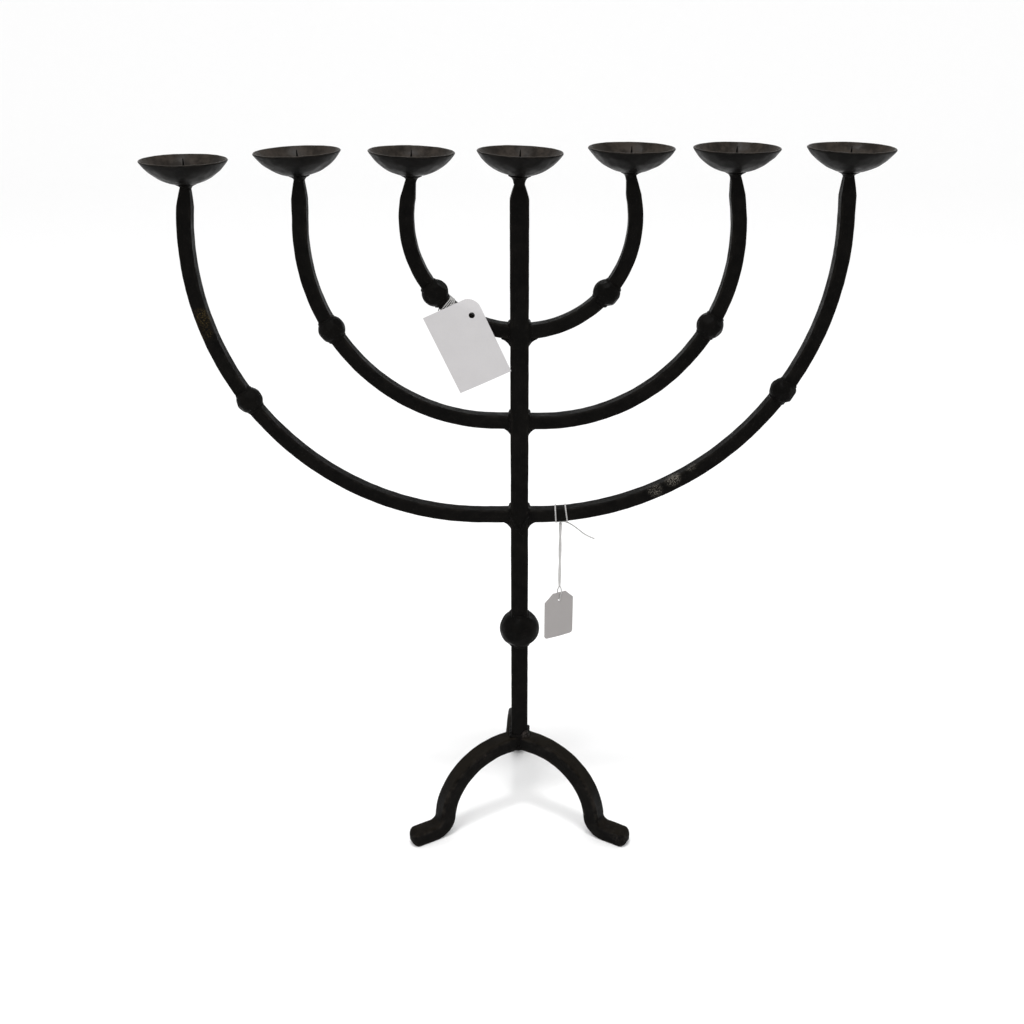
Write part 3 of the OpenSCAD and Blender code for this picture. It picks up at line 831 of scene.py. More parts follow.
def new_material(name):
    """An empty material with a Principled shader. Returns the material, its tree and the shader."""
    material = bpy.data.materials.new(name)
    material.use_nodes = True
    tree = material.node_tree
    tree.nodes.clear()
    shader = tree.nodes.new("ShaderNodeBsdfPrincipled")
    output = tree.nodes.new("ShaderNodeOutputMaterial")
    tree.links.new(shader.outputs[0], output.inputs[0])
    return material, tree, shader


def rgba(colour, factor=1.0):
    """A colour with its alpha, made lighter or darker."""
    return (colour[0] * factor, colour[1] * factor, colour[2] * factor, 1.0)


def bump(tree, shader, height, distance, strength=1.0):
    """Feeds a height to the shader's normal."""
    node = put(tree, "ShaderNodeBump", {"Height": height, "Distance": distance, "Strength": strength})
    tree.links.new(node.outputs[0], shader.inputs["Normal"])


MATERIALS = {}


def finish(name):
    """A material by name, made the first time it is asked for."""
    if name not in MATERIALS:
        MATERIALS[name] = FINISHES[name]()
    return MATERIALS[name]


def iron_base(name, edges, ridges, worn, flecks=()):
    """Blackened forged iron, rubbed on its edges. flecks are (centre, reach, size, cover, colour)."""
    iron = bpy.context.scene.menorah_iron
    material, tree, shader = new_material(name)
    place = object_place(tree)
    patina = shared(tree, "patina", {"Vector": place})
    wear = shared(tree, "wear", {"Vector": place, "Edges": edges, "Ridges": ridges})["Wear"]
    scale = shared(tree, "scale", {"Vector": place})["Height"]
    colour = blend_colours(tree, patina["Clouds"], rgba(iron.iron, 0.8), rgba(iron.iron, 1.7))
    faint = calc(tree, "MULTIPLY", patina["Speckle"], 0.25)
    colour = blend_colours(tree, faint, colour, rgba(worn, 0.8))
    colour = blend_colours(tree, wear, colour, rgba(worn))
    for centre, reach, size, cover, fleck_colour in flecks:
        mask = shared(
            tree,
            "flecks",
            {
                "Vector": place,
                "Centre": tuple(centre),
                "Reach": reach,
                "Fleck Size": size,
                "Cover": cover,
            },
        )["Flecks"]
        colour = blend_colours(tree, mask, colour, rgba(fleck_colour))
    rough = spread(tree, patina["Clouds"], 0.0, 1.0, 0.40, 0.62)
    rough = calc(tree, "MULTIPLY_ADD", wear, -0.12, rough)
    tree.links.new(colour, shader.inputs["Base Color"])
    tree.links.new(rough, shader.inputs["Roughness"])
    shader.inputs["Specular IOR Level"].default_value = 0.035
    bump(tree, shader, scale, 0.12 * MM, 0.7)
    return material


def from_stem(x, y, z):
    """A point given in millimetres from the foot of the stem's axis."""
    return STEM_AXIS + Vector((x, y, z)) * MM


def forged_iron_finish():
    """The stem, the arms and the balls, with the paint flecks and scratches on the outer arms."""
    iron = bpy.context.scene.menorah_iron
    yellow = (0.05, 0.035, 0.012)
    grey = (0.11, 0.10, 0.085)
    flecks = [
        (from_stem(-279.8, -6.2, 541), 11 * MM, 1.1 * MM, 0.62, yellow),
        (from_stem(-279.3, -6.2, 527), 9 * MM, 0.9 * MM, 0.5, yellow),
        (from_stem(128, -6.2, 374), 9 * MM, 1.0 * MM, 0.62, grey),
        (from_stem(143.4, -6.2, 386.5), 10 * MM, 1.3 * MM, 0.75, grey),
        (from_stem(159.5, -6.2, 399.7), 8 * MM, 1.0 * MM, 0.6, grey),
    ]
    return iron_base("forged_iron", 0.42, 0.10, iron.worn, flecks)


def leg_iron_finish():
    """The legs: rubbed ridges, painted light on their upper faces as if lit from above, and paler toes."""
    iron = bpy.context.scene.menorah_iron
    pink = (0.035, 0.024, 0.02)
    flecks = [
        (from_stem(-40, -30, 88), 16 * MM, 1.5 * MM, 0.34, pink),
        (from_stem(-78, -48, 48), 16 * MM, 1.3 * MM, 0.30, pink),
        (from_stem(104, -66, 14), 16 * MM, 1.6 * MM, 0.55, (0.018, 0.015, 0.013)),
    ]
    material = iron_base("leg_iron", 0.85, 0.16, tuple(c * 1.3 for c in iron.worn), flecks)
    tree = material.node_tree
    shader = next(n for n in tree.nodes if n.type == "BSDF_PRINCIPLED")
    base = shader.inputs["Base Color"].links[0].from_socket
    # Painted light: faces that look up get a lighter, mottled brown, standing in for the light from above.
    normal = put(tree, "ShaderNodeNewGeometry").outputs["Normal"]
    up = put(tree, "ShaderNodeSeparateXYZ", {0: normal}).outputs[2]
    top = spread(tree, up, 0.25, 0.8, smooth=True)
    top_light_mottle = noise(tree, object_place(tree), 70.0, 5.0, 0.7)
    top_light_mottle = spread(tree, top_light_mottle, 0.30, 0.65, 0.35, 1.0, smooth=True)
    colour = blend_colours(tree, calc(tree, "MULTIPLY", top, top_light_mottle), base, rgba(iron.leg_top_light))
    tree.links.new(colour, shader.inputs["Base Color"])
    return material


def pan_iron_finish():
    """The pans: dark underneath, brown inside and painted lighter there as if lit from above, and rubbed
    along the rim.
    """
    iron = bpy.context.scene.menorah_iron
    material = iron_base("pan_iron", 0.75, 0.10, iron.worn)
    tree = material.node_tree
    shader = next(n for n in tree.nodes if n.type == "BSDF_PRINCIPLED")
    base = shader.inputs["Base Color"].links[0].from_socket
    # Painted light: the inside of each pan gets a lighter, mottled brown while the underside keeps the dark
    # iron, as if lit from above.
    inside = attribute(tree, "inside")
    stain = noise(tree, object_place(tree), 95.0, 6.0, 0.68)
    stain = spread(tree, stain, 0.36, 0.66, smooth=True)
    brown = blend_colours(tree, stain, rgba(iron.pan_inside_tone_and_light, 0.55), rgba(iron.pan_inside_tone_and_light, 1.45))
    colour = blend_colours(tree, calc(tree, "MULTIPLY", inside, 0.92), base, brown)
    tree.links.new(colour, shader.inputs["Base Color"])
    tree.links.new(spread(tree, stain, 0.0, 1.0, 0.30, 0.5), shader.inputs["Roughness"])
    shader.inputs["Specular IOR Level"].default_value = 0.05
    return material


def weld_metal_finish():
    """Weld metal, a little greyer than the bars, with a spattered skin."""
    iron = bpy.context.scene.menorah_iron
    bright = (0.035, 0.03, 0.027)
    flecks = [(from_stem(6, -9, 98), 6 * MM, 1.4 * MM, 0.9, bright)]
    material = iron_base("weld_metal", 0.2, 0.55, tuple(c * 1.5 for c in iron.weld), flecks)
    return material


def paper_finish(name, colour):
    """Tag board: matt, with faint fibres and a little grubbiness."""
    material, tree, shader = new_material(name)
    place = object_place(tree)
    fibres = noise(tree, place, 1400.0, 4.0, 0.6)
    marks = noise(tree, place, 55.0, 5.0, 0.6)
    marks = spread(tree, marks, 0.35, 0.75, smooth=True)
    paper = blend_colours(tree, marks, rgba(colour), rgba(colour, 0.97))
    paper = blend_colours(tree, spread(tree, fibres, 0.5, 0.8), paper, rgba(colour, 0.93))
    tree.links.new(paper, shader.inputs["Base Color"])
    tree.links.new(spread(tree, fibres, 0.0, 1.0, 0.78, 0.92), shader.inputs["Roughness"])
    shader.inputs["Specular IOR Level"].default_value = 0.2
    bump(tree, shader, fibres, 0.03 * MM, 0.5)
    return material


def twine_finish():
    """White cotton string, greyed by handling, with a fibrous nap."""
    tags = bpy.context.scene.menorah_tags
    material, tree, shader = new_material("twine")
    place = object_place(tree)
    fibres = noise(tree, place, 3800.0, 3.0, 0.6, distortion=1.2)
    grime = noise(tree, place, 160.0, 3.0)
    clean = rgba(tags.string)
    colour = blend_colours(tree, spread(tree, grime, 0.4, 0.7), clean, rgba(tags.string, 0.68))
    colour = blend_colours(tree, spread(tree, fibres, 0.35, 0.7), rgba(tags.string, 0.7), colour)
    tree.links.new(colour, shader.inputs["Base Color"])
    tree.links.new(spread(tree, fibres, 0.0, 1.0, 0.8, 0.95), shader.inputs["Roughness"])
    shader.inputs["Specular IOR Level"].default_value = 0.15
    shader.inputs["Sheen Weight"].default_value = 0.25
    bump(tree, shader, fibres, 0.05 * MM, 0.8)
    return material


def floor_finish():
    """The white paper sweep."""
    studio = bpy.context.scene.menorah_studio
    material, tree, shader = new_material("paper_sweep")
    tooth = noise(tree, object_place(tree), 300.0, 3.0)
    colour = blend_colours(tree, tooth, rgba(studio.floor), rgba(studio.floor, 0.995))
    tree.links.new(colour, shader.inputs["Base Color"])
    shader.inputs["Roughness"].default_value = 0.9
    shader.inputs["Specular IOR Level"].default_value = 0.05
    return material


FINISHES = {
    "forged_iron": forged_iron_finish,
    "leg_iron": leg_iron_finish,
    "pan_iron": pan_iron_finish,
    "weld_metal": weld_metal_finish,
    "card_paper": lambda: paper_finish("card_paper", bpy.context.scene.menorah_tags.card),
    # The ticket's paper is the card's paper painted darker: painted shade.
    "ticket_paper_in_painted_shade": lambda: paper_finish("ticket_paper_in_painted_shade", bpy.context.scene.menorah_tags.ticket),
    "twine": twine_finish,
    "paper_sweep": floor_finish,
}


# ---------------------------------------------------------------- the arms' shape, from the frame


Arm = namedtuple("Arm", "sign joint_z start r lean riser seat")


def seat_of(place):
    """Where a pan sits on its neck, and the way its pricket points."""
    mount = next(m for m in frame["record"]["mounts"] if m["name"] == f"pricket_{place}")
    axis = Vector(mount["axis"]).normalized()
    up_to_middle = PAN_WALL - DISH_FLAT + 3.65 * MM
    return Vector(mount["pos_m"]) - axis * up_to_middle, axis


def arm_shape(rank, side):
    """The bend and the riser that take an arm from the stem to its pan."""
    low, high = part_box(f"arm_{side}_{rank}")
    sign = -1 if side == "left" else 1
    widest = max(abs(low.x - STEM.x), abs(high.x - STEM.x)) - ARM_W / 2
    seat, _ = seat_of(f"{side}_{rank}")
    joint_z = low.z + ARM_W / 2
    lean = radians(LEAN[rank][SIDES.index(side)])
    inward = widest - abs(seat.x - STEM.x)
    rise = seat.z - joint_z
    c = cos(lean)
    s = sin(lean)
    spare = c - s - 1
    r = (inward * c - rise * s) / spare
    riser = ((1 - c) * rise - (1 + s) * inward) / spare
    return Arm(sign, joint_z, widest - r, r, lean, riser, seat)


def bend_centre(arm):
    """The middle of an arm's bend."""
    return STEM_AXIS + Vector((arm.sign * arm.start, 0, arm.joint_z + arm.r))


def on_arm(arm, angle):
    """The point of an arm's centre line at an angle of its bend, and its direction outwards."""
    out = Vector((arm.sign * cos(angle), 0, -sin(angle)))
    return bend_centre(arm) + out * arm.r, out


def arm_points(arm):
    """An arm's centre line, from inside the stem to just inside the pan."""
    bend_z = arm.joint_z + arm.r
    lean = degrees(arm.lean)
    bend = arc((arm.start, bend_z), arm.r, -90, lean)
    root = (STEM_W / 2 - 1.5 * MM, arm.joint_z)
    top = Vector((abs(arm.seat.x - STEM.x), arm.seat.z))
    run = (top - Vector(bend[-1])).normalized()
    line = chained(straight(root, bend[0]), bend, straight(bend[-1], top + run * 1.2 * MM))
    return [STEM_AXIS + Vector((arm.sign * x, 0, z)) for x, z in line]


# ---------------------------------------------------------------- iron pieces


def bar(name, points, seed, material, **values):
    """A forged square bar along a line."""
    iron = bpy.context.scene.menorah_iron
    given = marks(iron.dent_width, iron.dent_depth, iron.waver, seed, material, **values)
    return grown(name, "bar", given, line_mesh(points))


def build_stem():
    """The square stem, drawn down under the middle pan."""
    low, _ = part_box("stem")
    seat, _ = seat_of("centre")
    points = straight(
        (STEM.x, STEM.y, low.z), (STEM.x, STEM.y, seat.z + 1.2 * MM)
    )
    neck_length, neck_width = STEM_NECK
    stem = bar(
        "forged_stem", points, 3, "forged_iron", width=STEM_W + SWELL, corner=STEM_CORNER,
        neck_length=neck_length, neck_width=neck_width, neck_flat=0.45,
    )
    finished(stem, "menorah", "forged_iron", "stem")


def build_arms():
    """The six curved arms."""
    neck_length, neck_width = ARM_NECK
    for number, (rank, side) in enumerate((r, s) for r in RANKS for s in SIDES):
        arm = bar(
            f"forged_arm_{side}_{rank}", arm_points(arm_shape(rank, side)), 5 + number,
            "forged_iron", width=ARM_W + SWELL / 2, corner=ARM_CORNER,
            neck_length=neck_length, neck_width=neck_width, neck_flat=0.1,
        )
        finished(arm, "menorah", "forged_iron", f"arm_{side}_{rank}")


def facet_directions(count, seed):
    """Directions spread evenly over a ball, each turned a little at random."""
    chance = random.Random(seed)
    directions = []
    for i in range(count):
        z = 1 - 2 * (i + 0.5) / count
        turn = pi * (1 + sqrt(5)) * i + seed
        r = sqrt(1 - z * z)
        jitter = Vector([chance.uniform(-0.16, 0.16) for _ in range(3)])
        directions.append((Vector((r * cos(turn), r * sin(turn), z)) + jitter).normalized())
    return directions


def forged_ball(name, node, radius, along, facets, depth, seed, collar_r, extra=()):
    """A ball beaten with flat facets, with a short collar round the bar on each side."""
    iron = bpy.context.scene.menorah_iron
    centre = middle(node)
    chance = random.Random(seed)
    bm = bmesh.new()
    bmesh.ops.create_icosphere(bm, subdivisions=6, radius=radius)
    cuts = [(d, radius * (1 - depth * chance.uniform(0.4, 1.3))) for d in facet_directions(facets, seed)]
    cuts += [(Vector(d).normalized(), radius * reach) for d, reach in extra]
    for direction, reach in cuts:
        for vertex in bm.verts:
            over = vertex.co.dot(direction) - reach
            if over > 0:
                vertex.co -= direction * over
    smoothings = 4
    for _ in range(smoothings):
        bmesh.ops.smooth_vert(
            bm, verts=bm.verts, factor=0.5, use_axis_x=True, use_axis_y=True, use_axis_z=True
        )
    ball = mesh_from(bm, "ball")
    long = sqrt(radius * radius - collar_r * collar_r) + 2.2 * MM
    round_off = 1.2 * MM
    shoulder = [(0, -long), (collar_r - round_off, -long), (collar_r, -long + round_off)]
    outline = chained(
        straight(shoulder[0], shoulder[1], 2 * MM),
        straight(shoulder[1], shoulder[2], 0.6 * MM),
        straight(shoulder[2], (collar_r, long - round_off), 2 * MM),
        straight((collar_r, long - round_off), (collar_r - round_off, long), 0.6 * MM),
        straight((collar_r - round_off, long), (0, long), 2 * MM),
    )
    turn = UP.rotation_difference(along).to_matrix().to_4x4()
    collar = turned(outline, 48, turn)
    bm = bmesh.new()
    bm.from_mesh(ball)
    bm.from_mesh(collar)
    bmesh.ops.translate(bm, verts=bm.verts, vec=centre)
    mesh = bpy.data.meshes.new(name)
    bm.to_mesh(mesh)
    bm.free()
    values = marks(7 * MM, 0.22 * MM, iron.waver, seed, "forged_iron")
    return grown(name, "piece", values, mesh)


# For each arm's ball: how many facets, how deep they are cut, as a share of its radius, and any
# special flats as (direction, how far out).
KNOP_WORK = {
    ("inner", "left"): (12, 0.11, [((-0.3, -1, 0.25), 0.88), ((0.55, -0.9, 0.1), 0.9)]),
    ("inner", "right"): (16, 0.07, [((0.1, -1, 0.3), 0.94)]),
    ("middle", "left"): (20, 0.05, [((0.3, -1, 0.1), 0.96)]),
    ("middle", "right"): (18, 0.06, [((0.7, -0.6, 0.45), 0.93)]),
    ("outer", "left"): (18, 0.06, [((-0.2, -1, 0.2), 0.95)]),
    ("outer", "right"): (15, 0.07, [((0.75, -0.7, 0.35), 0.92)]),
}


def build_balls():
    """The ball on the stem and the ball on each arm."""
    low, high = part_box("stem_ball")
    ball = forged_ball(
        "forged_stem_ball", "stem_ball", (high.x - low.x) / 2 + SWELL, UP, 22, 0.045, 11, 10.6 * MM,
        [((0, 0, 1), 0.955), ((0, 0, -1), 0.96), ((0.25, -1, -0.1), 0.965)],
    )
    finished(ball, "menorah", "forged_iron", "stem_ball")
    for number, ((rank, side), (facets, depth, extra)) in enumerate(KNOP_WORK.items()):
        node = f"knop_{side}_{rank}"
        low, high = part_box(node)
        arm = arm_shape(rank, side)
        out = (middle(node) - bend_centre(arm)).normalized()
        along = Vector((-out.z, 0, out.x))
        ball = forged_ball(
            f"forged_{node}", node, (high.y - low.y) / 2 + SWELL / 2, along, facets, depth, 21 + number,
            8.5 * MM, extra,
        )
        finished(ball, "menorah", "forged_iron", node)


def standing(place, axis):
    """The matrix that stands a turned piece on a point, along an axis."""
    return Matrix.Translation(place) @ UP.rotation_difference(axis).to_matrix().to_4x4()


def pan_outline():
    """The section of a pan: up the outside, round the rim, and down the inside."""
    centre_h = DISH_R - DISH_FLAT
    rim_reach = DISH_R - RIM_R
    rim_r = sqrt(rim_reach ** 2 - (centre_h - PAN_DEPTH) ** 2)
    rim_angle = degrees(asin(rim_r / rim_reach))
    foot_r = 5 * MM
    foot_h = centre_h - sqrt(DISH_R ** 2 - foot_r ** 2)
    start = degrees(asin(foot_r / DISH_R))
    outside = [(r, foot_h) for r in (0, foot_r / 2)]
    outside += arc((0, centre_h), DISH_R, start - 90, rim_angle - 91)
    rim_line = arc((rim_r, PAN_DEPTH), RIM_R, rim_angle - 90, rim_angle + 90, 0.4 * MM)
    inner_r = DISH_R - PAN_WALL
    inside = arc((0, centre_h), inner_r, rim_angle - 91, -90)
    inside[-1] = (0, centre_h - inner_r)
    return outside, rim_line, inside


def build_pans():
    """The seven sunk pans."""
    iron = bpy.context.scene.menorah_iron
    outside, rim_line, inside = pan_outline()
    outline = outside + rim_line + inside
    inside_from = len(outside) + len(rim_line) // 2
    for number, place in enumerate(PLACES):
        seat, axis = seat_of(place)
        mesh = turned(outline, 168, standing(seat, axis), inside_from)
        centre = tuple(seat + axis * (DISH_R - DISH_FLAT))
        values = marks(
            9 * MM, iron.pan_dent_depth, 0.5 * MM, 31 + number, "pan_iron", centre=centre, from_centre=1.0
        )
        pan = grown(f"sunk_pan_{place}", "piece", values, mesh)
        finished(pan, "menorah", "pan_iron", f"pan_{place}")


def build_prickets():
    """The seven spikes, each on its collar in the middle of a pan."""
    floor_h = PAN_WALL - DISH_FLAT
    shank_r = 1.6 * MM
    outline = chained(
        straight((0, 0.4 * MM), (2.3 * MM, 0.4 * MM), MM),
        straight((2.3 * MM, 0.4 * MM), (2.3 * MM, floor_h + 0.2 * MM), MM),
        straight((2.3 * MM, floor_h + 0.2 * MM), (shank_r, floor_h + 0.5 * MM), 0.4 * MM),
        straight((shank_r, floor_h + 0.5 * MM), (shank_r, floor_h + 7 * MM), 0.8 * MM),
        straight((shank_r, floor_h + 7 * MM), (0.35 * MM, PAN_DEPTH + 1.8 * MM), 0.8 * MM),
        straight((0.35 * MM, PAN_DEPTH + 1.8 * MM), (0, PAN_DEPTH + 2 * MM), 0.4 * MM),
    )
    for number, place in enumerate(PLACES):
        seat, axis = seat_of(place)
        mesh = turned(outline, 28, standing(seat, axis))
        values = marks(3 * MM, 0.08 * MM, 0.05 * MM, 41 + number, "forged_iron")
        pricket = grown(f"drawn_pricket_{place}", "piece", values, mesh)
        finished(pricket, "menorah", "forged_iron", f"pricket_{place}")


def leg_profile():
    """A leg's centre line as (distance out, height)."""
    axis_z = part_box("leg_rear")[1].z - LEG_W / 2
    bend_x = LEG_REACH - LEG_BEND_R
    bend_z = axis_z - LEG_BEND_R
    toe_z = LEG_W / 2 + TOE_BEND_R
    toe_angle = degrees(asin((toe_z - bend_z) / (LEG_BEND_R + TOE_BEND_R)))
    toe_x = bend_x + (LEG_BEND_R + TOE_BEND_R) * cos(radians(toe_angle))
    toe_end = toe_x + TOE_L + LEG_W / 2
    tip = toe_end - 7 * MM
    return chained(
        straight((-4 * MM, axis_z), (bend_x, axis_z)),
        arc((bend_x, bend_z), LEG_BEND_R, 90, toe_angle),
        arc((toe_x, toe_z), TOE_BEND_R, 180 + toe_angle, 270),
        straight((toe_x, LEG_W / 2), (tip, LEG_W / 2)),
        straight((tip, LEG_W / 2), (toe_end - 0.3 * MM, LEG_W / 2), 0.35 * MM),
    )


def build_legs():
    """The three arched legs, each with an out-turned, rounded toe."""
    turn = radians(FRONT_LEG_TURN)
    rear = radians(REAR_LEG_TURN)
    ways = {
        "leg_front_left": (Vector((-sin(turn), -cos(turn), 0)), Vector()),
        "leg_front_right": (Vector((sin(turn), -cos(turn), 0)), Vector()),
        "leg_rear": (Vector((sin(rear), cos(rear), 0)), Vector((REAR_LEG_SHIFT, 0, 0))),
    }
    profile = leg_profile()
    for number, (node, (way, shift)) in enumerate(ways.items()):
        points = [STEM_AXIS + shift + way * out + UP * height for out, height in profile]
        leg = bar(
            f"forged_{node}", points, 51 + number, "leg_iron", width=LEG_W + SWELL, corner=LEG_CORNER,
            nose_length=8 * MM, neck_length=MM, neck_width=LEG_W + SWELL, dent_depth=0.22 * MM,
        )
        for vertex in leg.data.vertices:
            vertex.co.z = max(vertex.co.z, 0)
        finished(leg, "menorah", "leg_iron", node)


# ---------------------------------------------------------------- welds


def frame_copy(bm, node):
    """Adds a merged copy of a frame node's shape."""
    bm.from_mesh(frame["nodes"][node].data)
    bmesh.ops.remove_doubles(bm, verts=bm.verts, dist=1e-6)
    bmesh.ops.recalc_face_normals(bm, faces=bm.faces)


def bead(bm, points, radius, seed, step=1.3 * MM):
    """A run of weld metal: overlapping drops along a line, each a little different."""
    chance = random.Random(seed)
    for a, b in zip(points, points[1:]):
        a = Vector(a)
        b = Vector(b)
        count = max(1, ceil((b - a).length / step))
        for i in range(count + 1):
            jitter = Vector([chance.uniform(-0.25, 0.25) * MM for _ in range(3)])
            size = radius * chance.uniform(0.82, 1.15)
            place = Matrix.Translation(a.lerp(b, i / count) + jitter)
            bmesh.ops.create_icosphere(bm, subdivisions=2, radius=size, matrix=place)


def weld(name, bm, seed, voxel=0.55 * MM):
    """Runs a weld's parts together into one rough lump."""
    mesh = bpy.data.meshes.new(name)
    bm.to_mesh(mesh)
    bm.free()
    lump = placed_object(name, mesh)
    remesh = lump.modifiers.new("Fuse", "REMESH")
    remesh.mode = "VOXEL"
    remesh.voxel_size = voxel
    remesh.use_smooth_shade = True
    smooth = lump.modifiers.new("Melt", "SMOOTH")
    smooth.factor = 0.5
    smooth.iterations = 7
    lump = plain_mesh(lump)
    mesh = lump.data
    bpy.data.objects.remove(lump)
    values = marks(2.4 * MM, 0.08 * MM, 0.12 * MM, seed, "weld_metal")
    return grown(name, "piece", values, mesh)


def build_welds():
    """The weld metal: at the arms' roots, under the pans, round the stem's foot, in the crown."""
    front = -ARM_W / 2 / MM
    wall = STEM_W / 2 / MM
    for number, rank in enumerate(RANKS):
        bm = bmesh.new()
        frame_copy(bm, f"welds_{rank}_arms")
        for side in SIDES:
            arm = arm_shape(rank, side)
            z = arm.joint_z / MM
            x = arm.sign * (wall + 0.3)
            up = z + ARM_W / 2 / MM
            down = z - ARM_W / 2 / MM
            corners = [
                from_stem(x, front, down - 2), from_stem(x, front, up + 1), from_stem(x, 0, up + 1.2),
                from_stem(x, -front, up + 1), from_stem(x, -front, down - 2),
            ]
            bead(bm, corners, 1.9 * MM, 60 + number + arm.sign)
        if rank == "outer":
            y = -wall + 0.2
            bead(bm, [from_stem(-8.5, y, 350), from_stem(-3, y, 337), from_stem(2.4, y, 328)], 1.6 * MM, 71)
            bead(bm, [from_stem(8.5, y, 349), from_stem(4.5, y, 341), from_stem(0.8, y, 332)], 1.5 * MM, 72)
        made = weld(f"weld_roots_{rank}", bm, 61 + number)
        finished(made, "menorah", "weld_metal", f"welds_{rank}_arms")
    bm = bmesh.new()
    for place in PLACES:
        seat, axis = seat_of(place)
        neck = STEM_NECK[1] if place == "centre" else ARM_NECK[1]
        sweep = [(neck / 2 + out * MM, height * MM) for out, height in PAN_FILLET]
        outline = [(0, sweep[0][1]), *sweep, (0, MM)]
        bm.from_mesh(turned(outline, 40, standing(seat, axis)))
    made = weld("weld_under_pans", bm, 65)
    finished(made, "menorah", "weld_metal", "welds_under_pans")
    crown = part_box("stem")[0].z / MM
    bm = bmesh.new()
    frame_copy(bm, "welds_stem_foot")
    w = wall + 0.9
    square = [(-w, -w), (w, -w), (w, w), (-w, w), (-w, -w)]
    bead(bm, [from_stem(x, y, crown + 1) for x, y in square], 1.7 * MM, 90)
    bead(bm, [from_stem(4.5, -9, crown + 3), from_stem(6.5, -8.8, crown + 5.5)], 2.6 * MM, 91)
    made = weld("weld_stem_foot", bm, 66)
    finished(made, "menorah", "weld_metal", "welds_stem_foot")
    bm = bmesh.new()
    frame_copy(bm, "weld_under_crown")
    low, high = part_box("weld_under_crown")
    bead(bm, [((low.x + high.x) / 2, (low.y + high.y) / 2, low.z + 1.5 * MM)] * 2, 2.4 * MM, 93)
    bead(bm, [from_stem(-10, -8.4, crown - 13.5), from_stem(1, -9.4, crown - 14)], 2.6 * MM, 94)
    made = weld("weld_crown_bead", bm, 67)
    finished(made, "menorah", "weld_metal", "weld_under_crown")


# ---------------------------------------------------------------- string and tags


def string(name, points, body, node, diameter=STRING_D, lay=None):
    """Two-ply string along a line."""
    tags = bpy.context.scene.menorah_tags
    values = {
        "Diameter": diameter,
        "Lay Length": lay or tags.lay_length,
        "Material": finish("twine"),
    }
    made = grown(name, "string", values, line_mesh(points))
    return finished(made, body, "twine", node)


def round_the_bar(angle, half):
    """A point on a rounded square of half a width, as distances across and up."""
    c = cos(angle)
    s = sin(angle)
    reach = half / (abs(c) ** 7 + abs(s) ** 7) ** (1 / 7)
    return reach * c, reach * s


def build_card_string():
    """The string wound round the inner left arm, and its short end behind the card."""
    arm = arm_shape("inner", "left")
    half = ARM_W / 2 + STRING_D / 2
    turns = 4
    pitch = 1.55 * MM
    steps = 44
    points = []
    for i in range(turns * steps + 1):
        share = i / steps
        angle = TIE_AT + (share - turns / 2) * pitch / arm.r
        centre, out = on_arm(arm, angle)
        across, deep = round_the_bar(2 * pi * share, half)
        wander = 0.15 * MM * sin(2.3 * share * pi)
        points.append(centre + out * across + Vector((0, deep, 0)) + Vector((-out.z, 0, out.x)) * wander)
    first = points[0] + Vector((-1.5, 0, -2.5)) * MM
    string("card_winding", [first, *points], "menorah", "card_tie")
    low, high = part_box("card_string")
    start = Vector((low.x, high.y - STRING_D / 2, low.z + STRING_D / 2))
    route = [start + Vector(p) * MM for p in CARD_STRING_ROUTE]
    string("card_string_end", eased(route, 0.4 * MM), "card", "card_string")


def cut_sheet(outline, hole, hole_r, gap, place):
    """A flat sheet with a hole, cut to an outline, cross-hatched with points, and laid by place."""
    hole = Vector(hole)
    rim = [hole + Vector((cos(a), sin(a))) * hole_r for a in [2 * pi * i / 24 for i in range(24)]]
    points = [Vector(p) for p in outline] + rim
    count = len(outline)
    edges = [(i, (i + 1) % count) for i in range(count)]
    edges += [(count + i, count + (i + 1) % 24) for i in range(24)]
    low = Vector((min(p.x for p in points), min(p.y for p in points)))
    high = Vector((max(p.x for p in points), max(p.y for p in points)))
    border = [Vector(p) for p in outline]
    x = low.x + gap
    row = 0
    while x < high.x:
        y = low.y + gap * (1 + 0.5 * (row % 2))
        while y < high.y:
            spot = Vector((x, y))
            clear = all((spot - b).length > 0.6 * gap for b in border)
            if clear and (spot - hole).length > hole_r + 0.5 * gap:
                points.append(spot)
            y += gap
        x += gap * 0.87
        row += 1
    verts, _, faces, _, _, _ = delaunay_2d_cdt(points, edges, [list(range(count))], 1, 1e-7)
    bm = bmesh.new()
    made = [bm.verts.new(place(v.x, v.y)) for v in verts]
    for face in faces:
        centre = sum((verts[i] for i in face), Vector((0, 0))) / len(face)
        if (centre - hole).length > hole_r * 0.97:
            bm.faces.new([made[i] for i in face])
    loose = [v for v in bm.verts if not v.link_faces]
    bmesh.ops.delete(bm, geom=loose, context="VERTS")
    return mesh_from(bm, "sheet")


def stepped(corners, gap):
    """The points of an outline, a gap apart, without its last, which is its first."""
    points = []
    for a, b in zip(corners, corners[1:] + corners[:1]):
        run = straight(a, b, gap)
        points += run[:-1]
    return points


def card_outline():
    """The card, with its upper right corner round."""
    w, h = CARD_SIZE
    corner = arc((w - CARD_CORNER, h - CARD_CORNER), CARD_CORNER, 0, 90, 2 * MM)
    return stepped([(0, 0), (w, 0), *corner, (0, h)], 1.8 * MM)


def thickened(name, mesh, thickness, material):
    """Gives a sheet its thickness, about its own middle."""
    sheet = placed_object(name, mesh)
    solid = sheet.modifiers.new("Board", "SOLIDIFY")
    solid.thickness = thickness
    solid.offset = 0
    sheet = plain_mesh(sheet)
    sheet.name = name
    sheet.data.materials.clear()
    sheet.data.materials.append(finish(material))
    sheet.data.shade_smooth()
    sheet.data.set_sharp_from_angle(angle=radians(40))
    return sheet


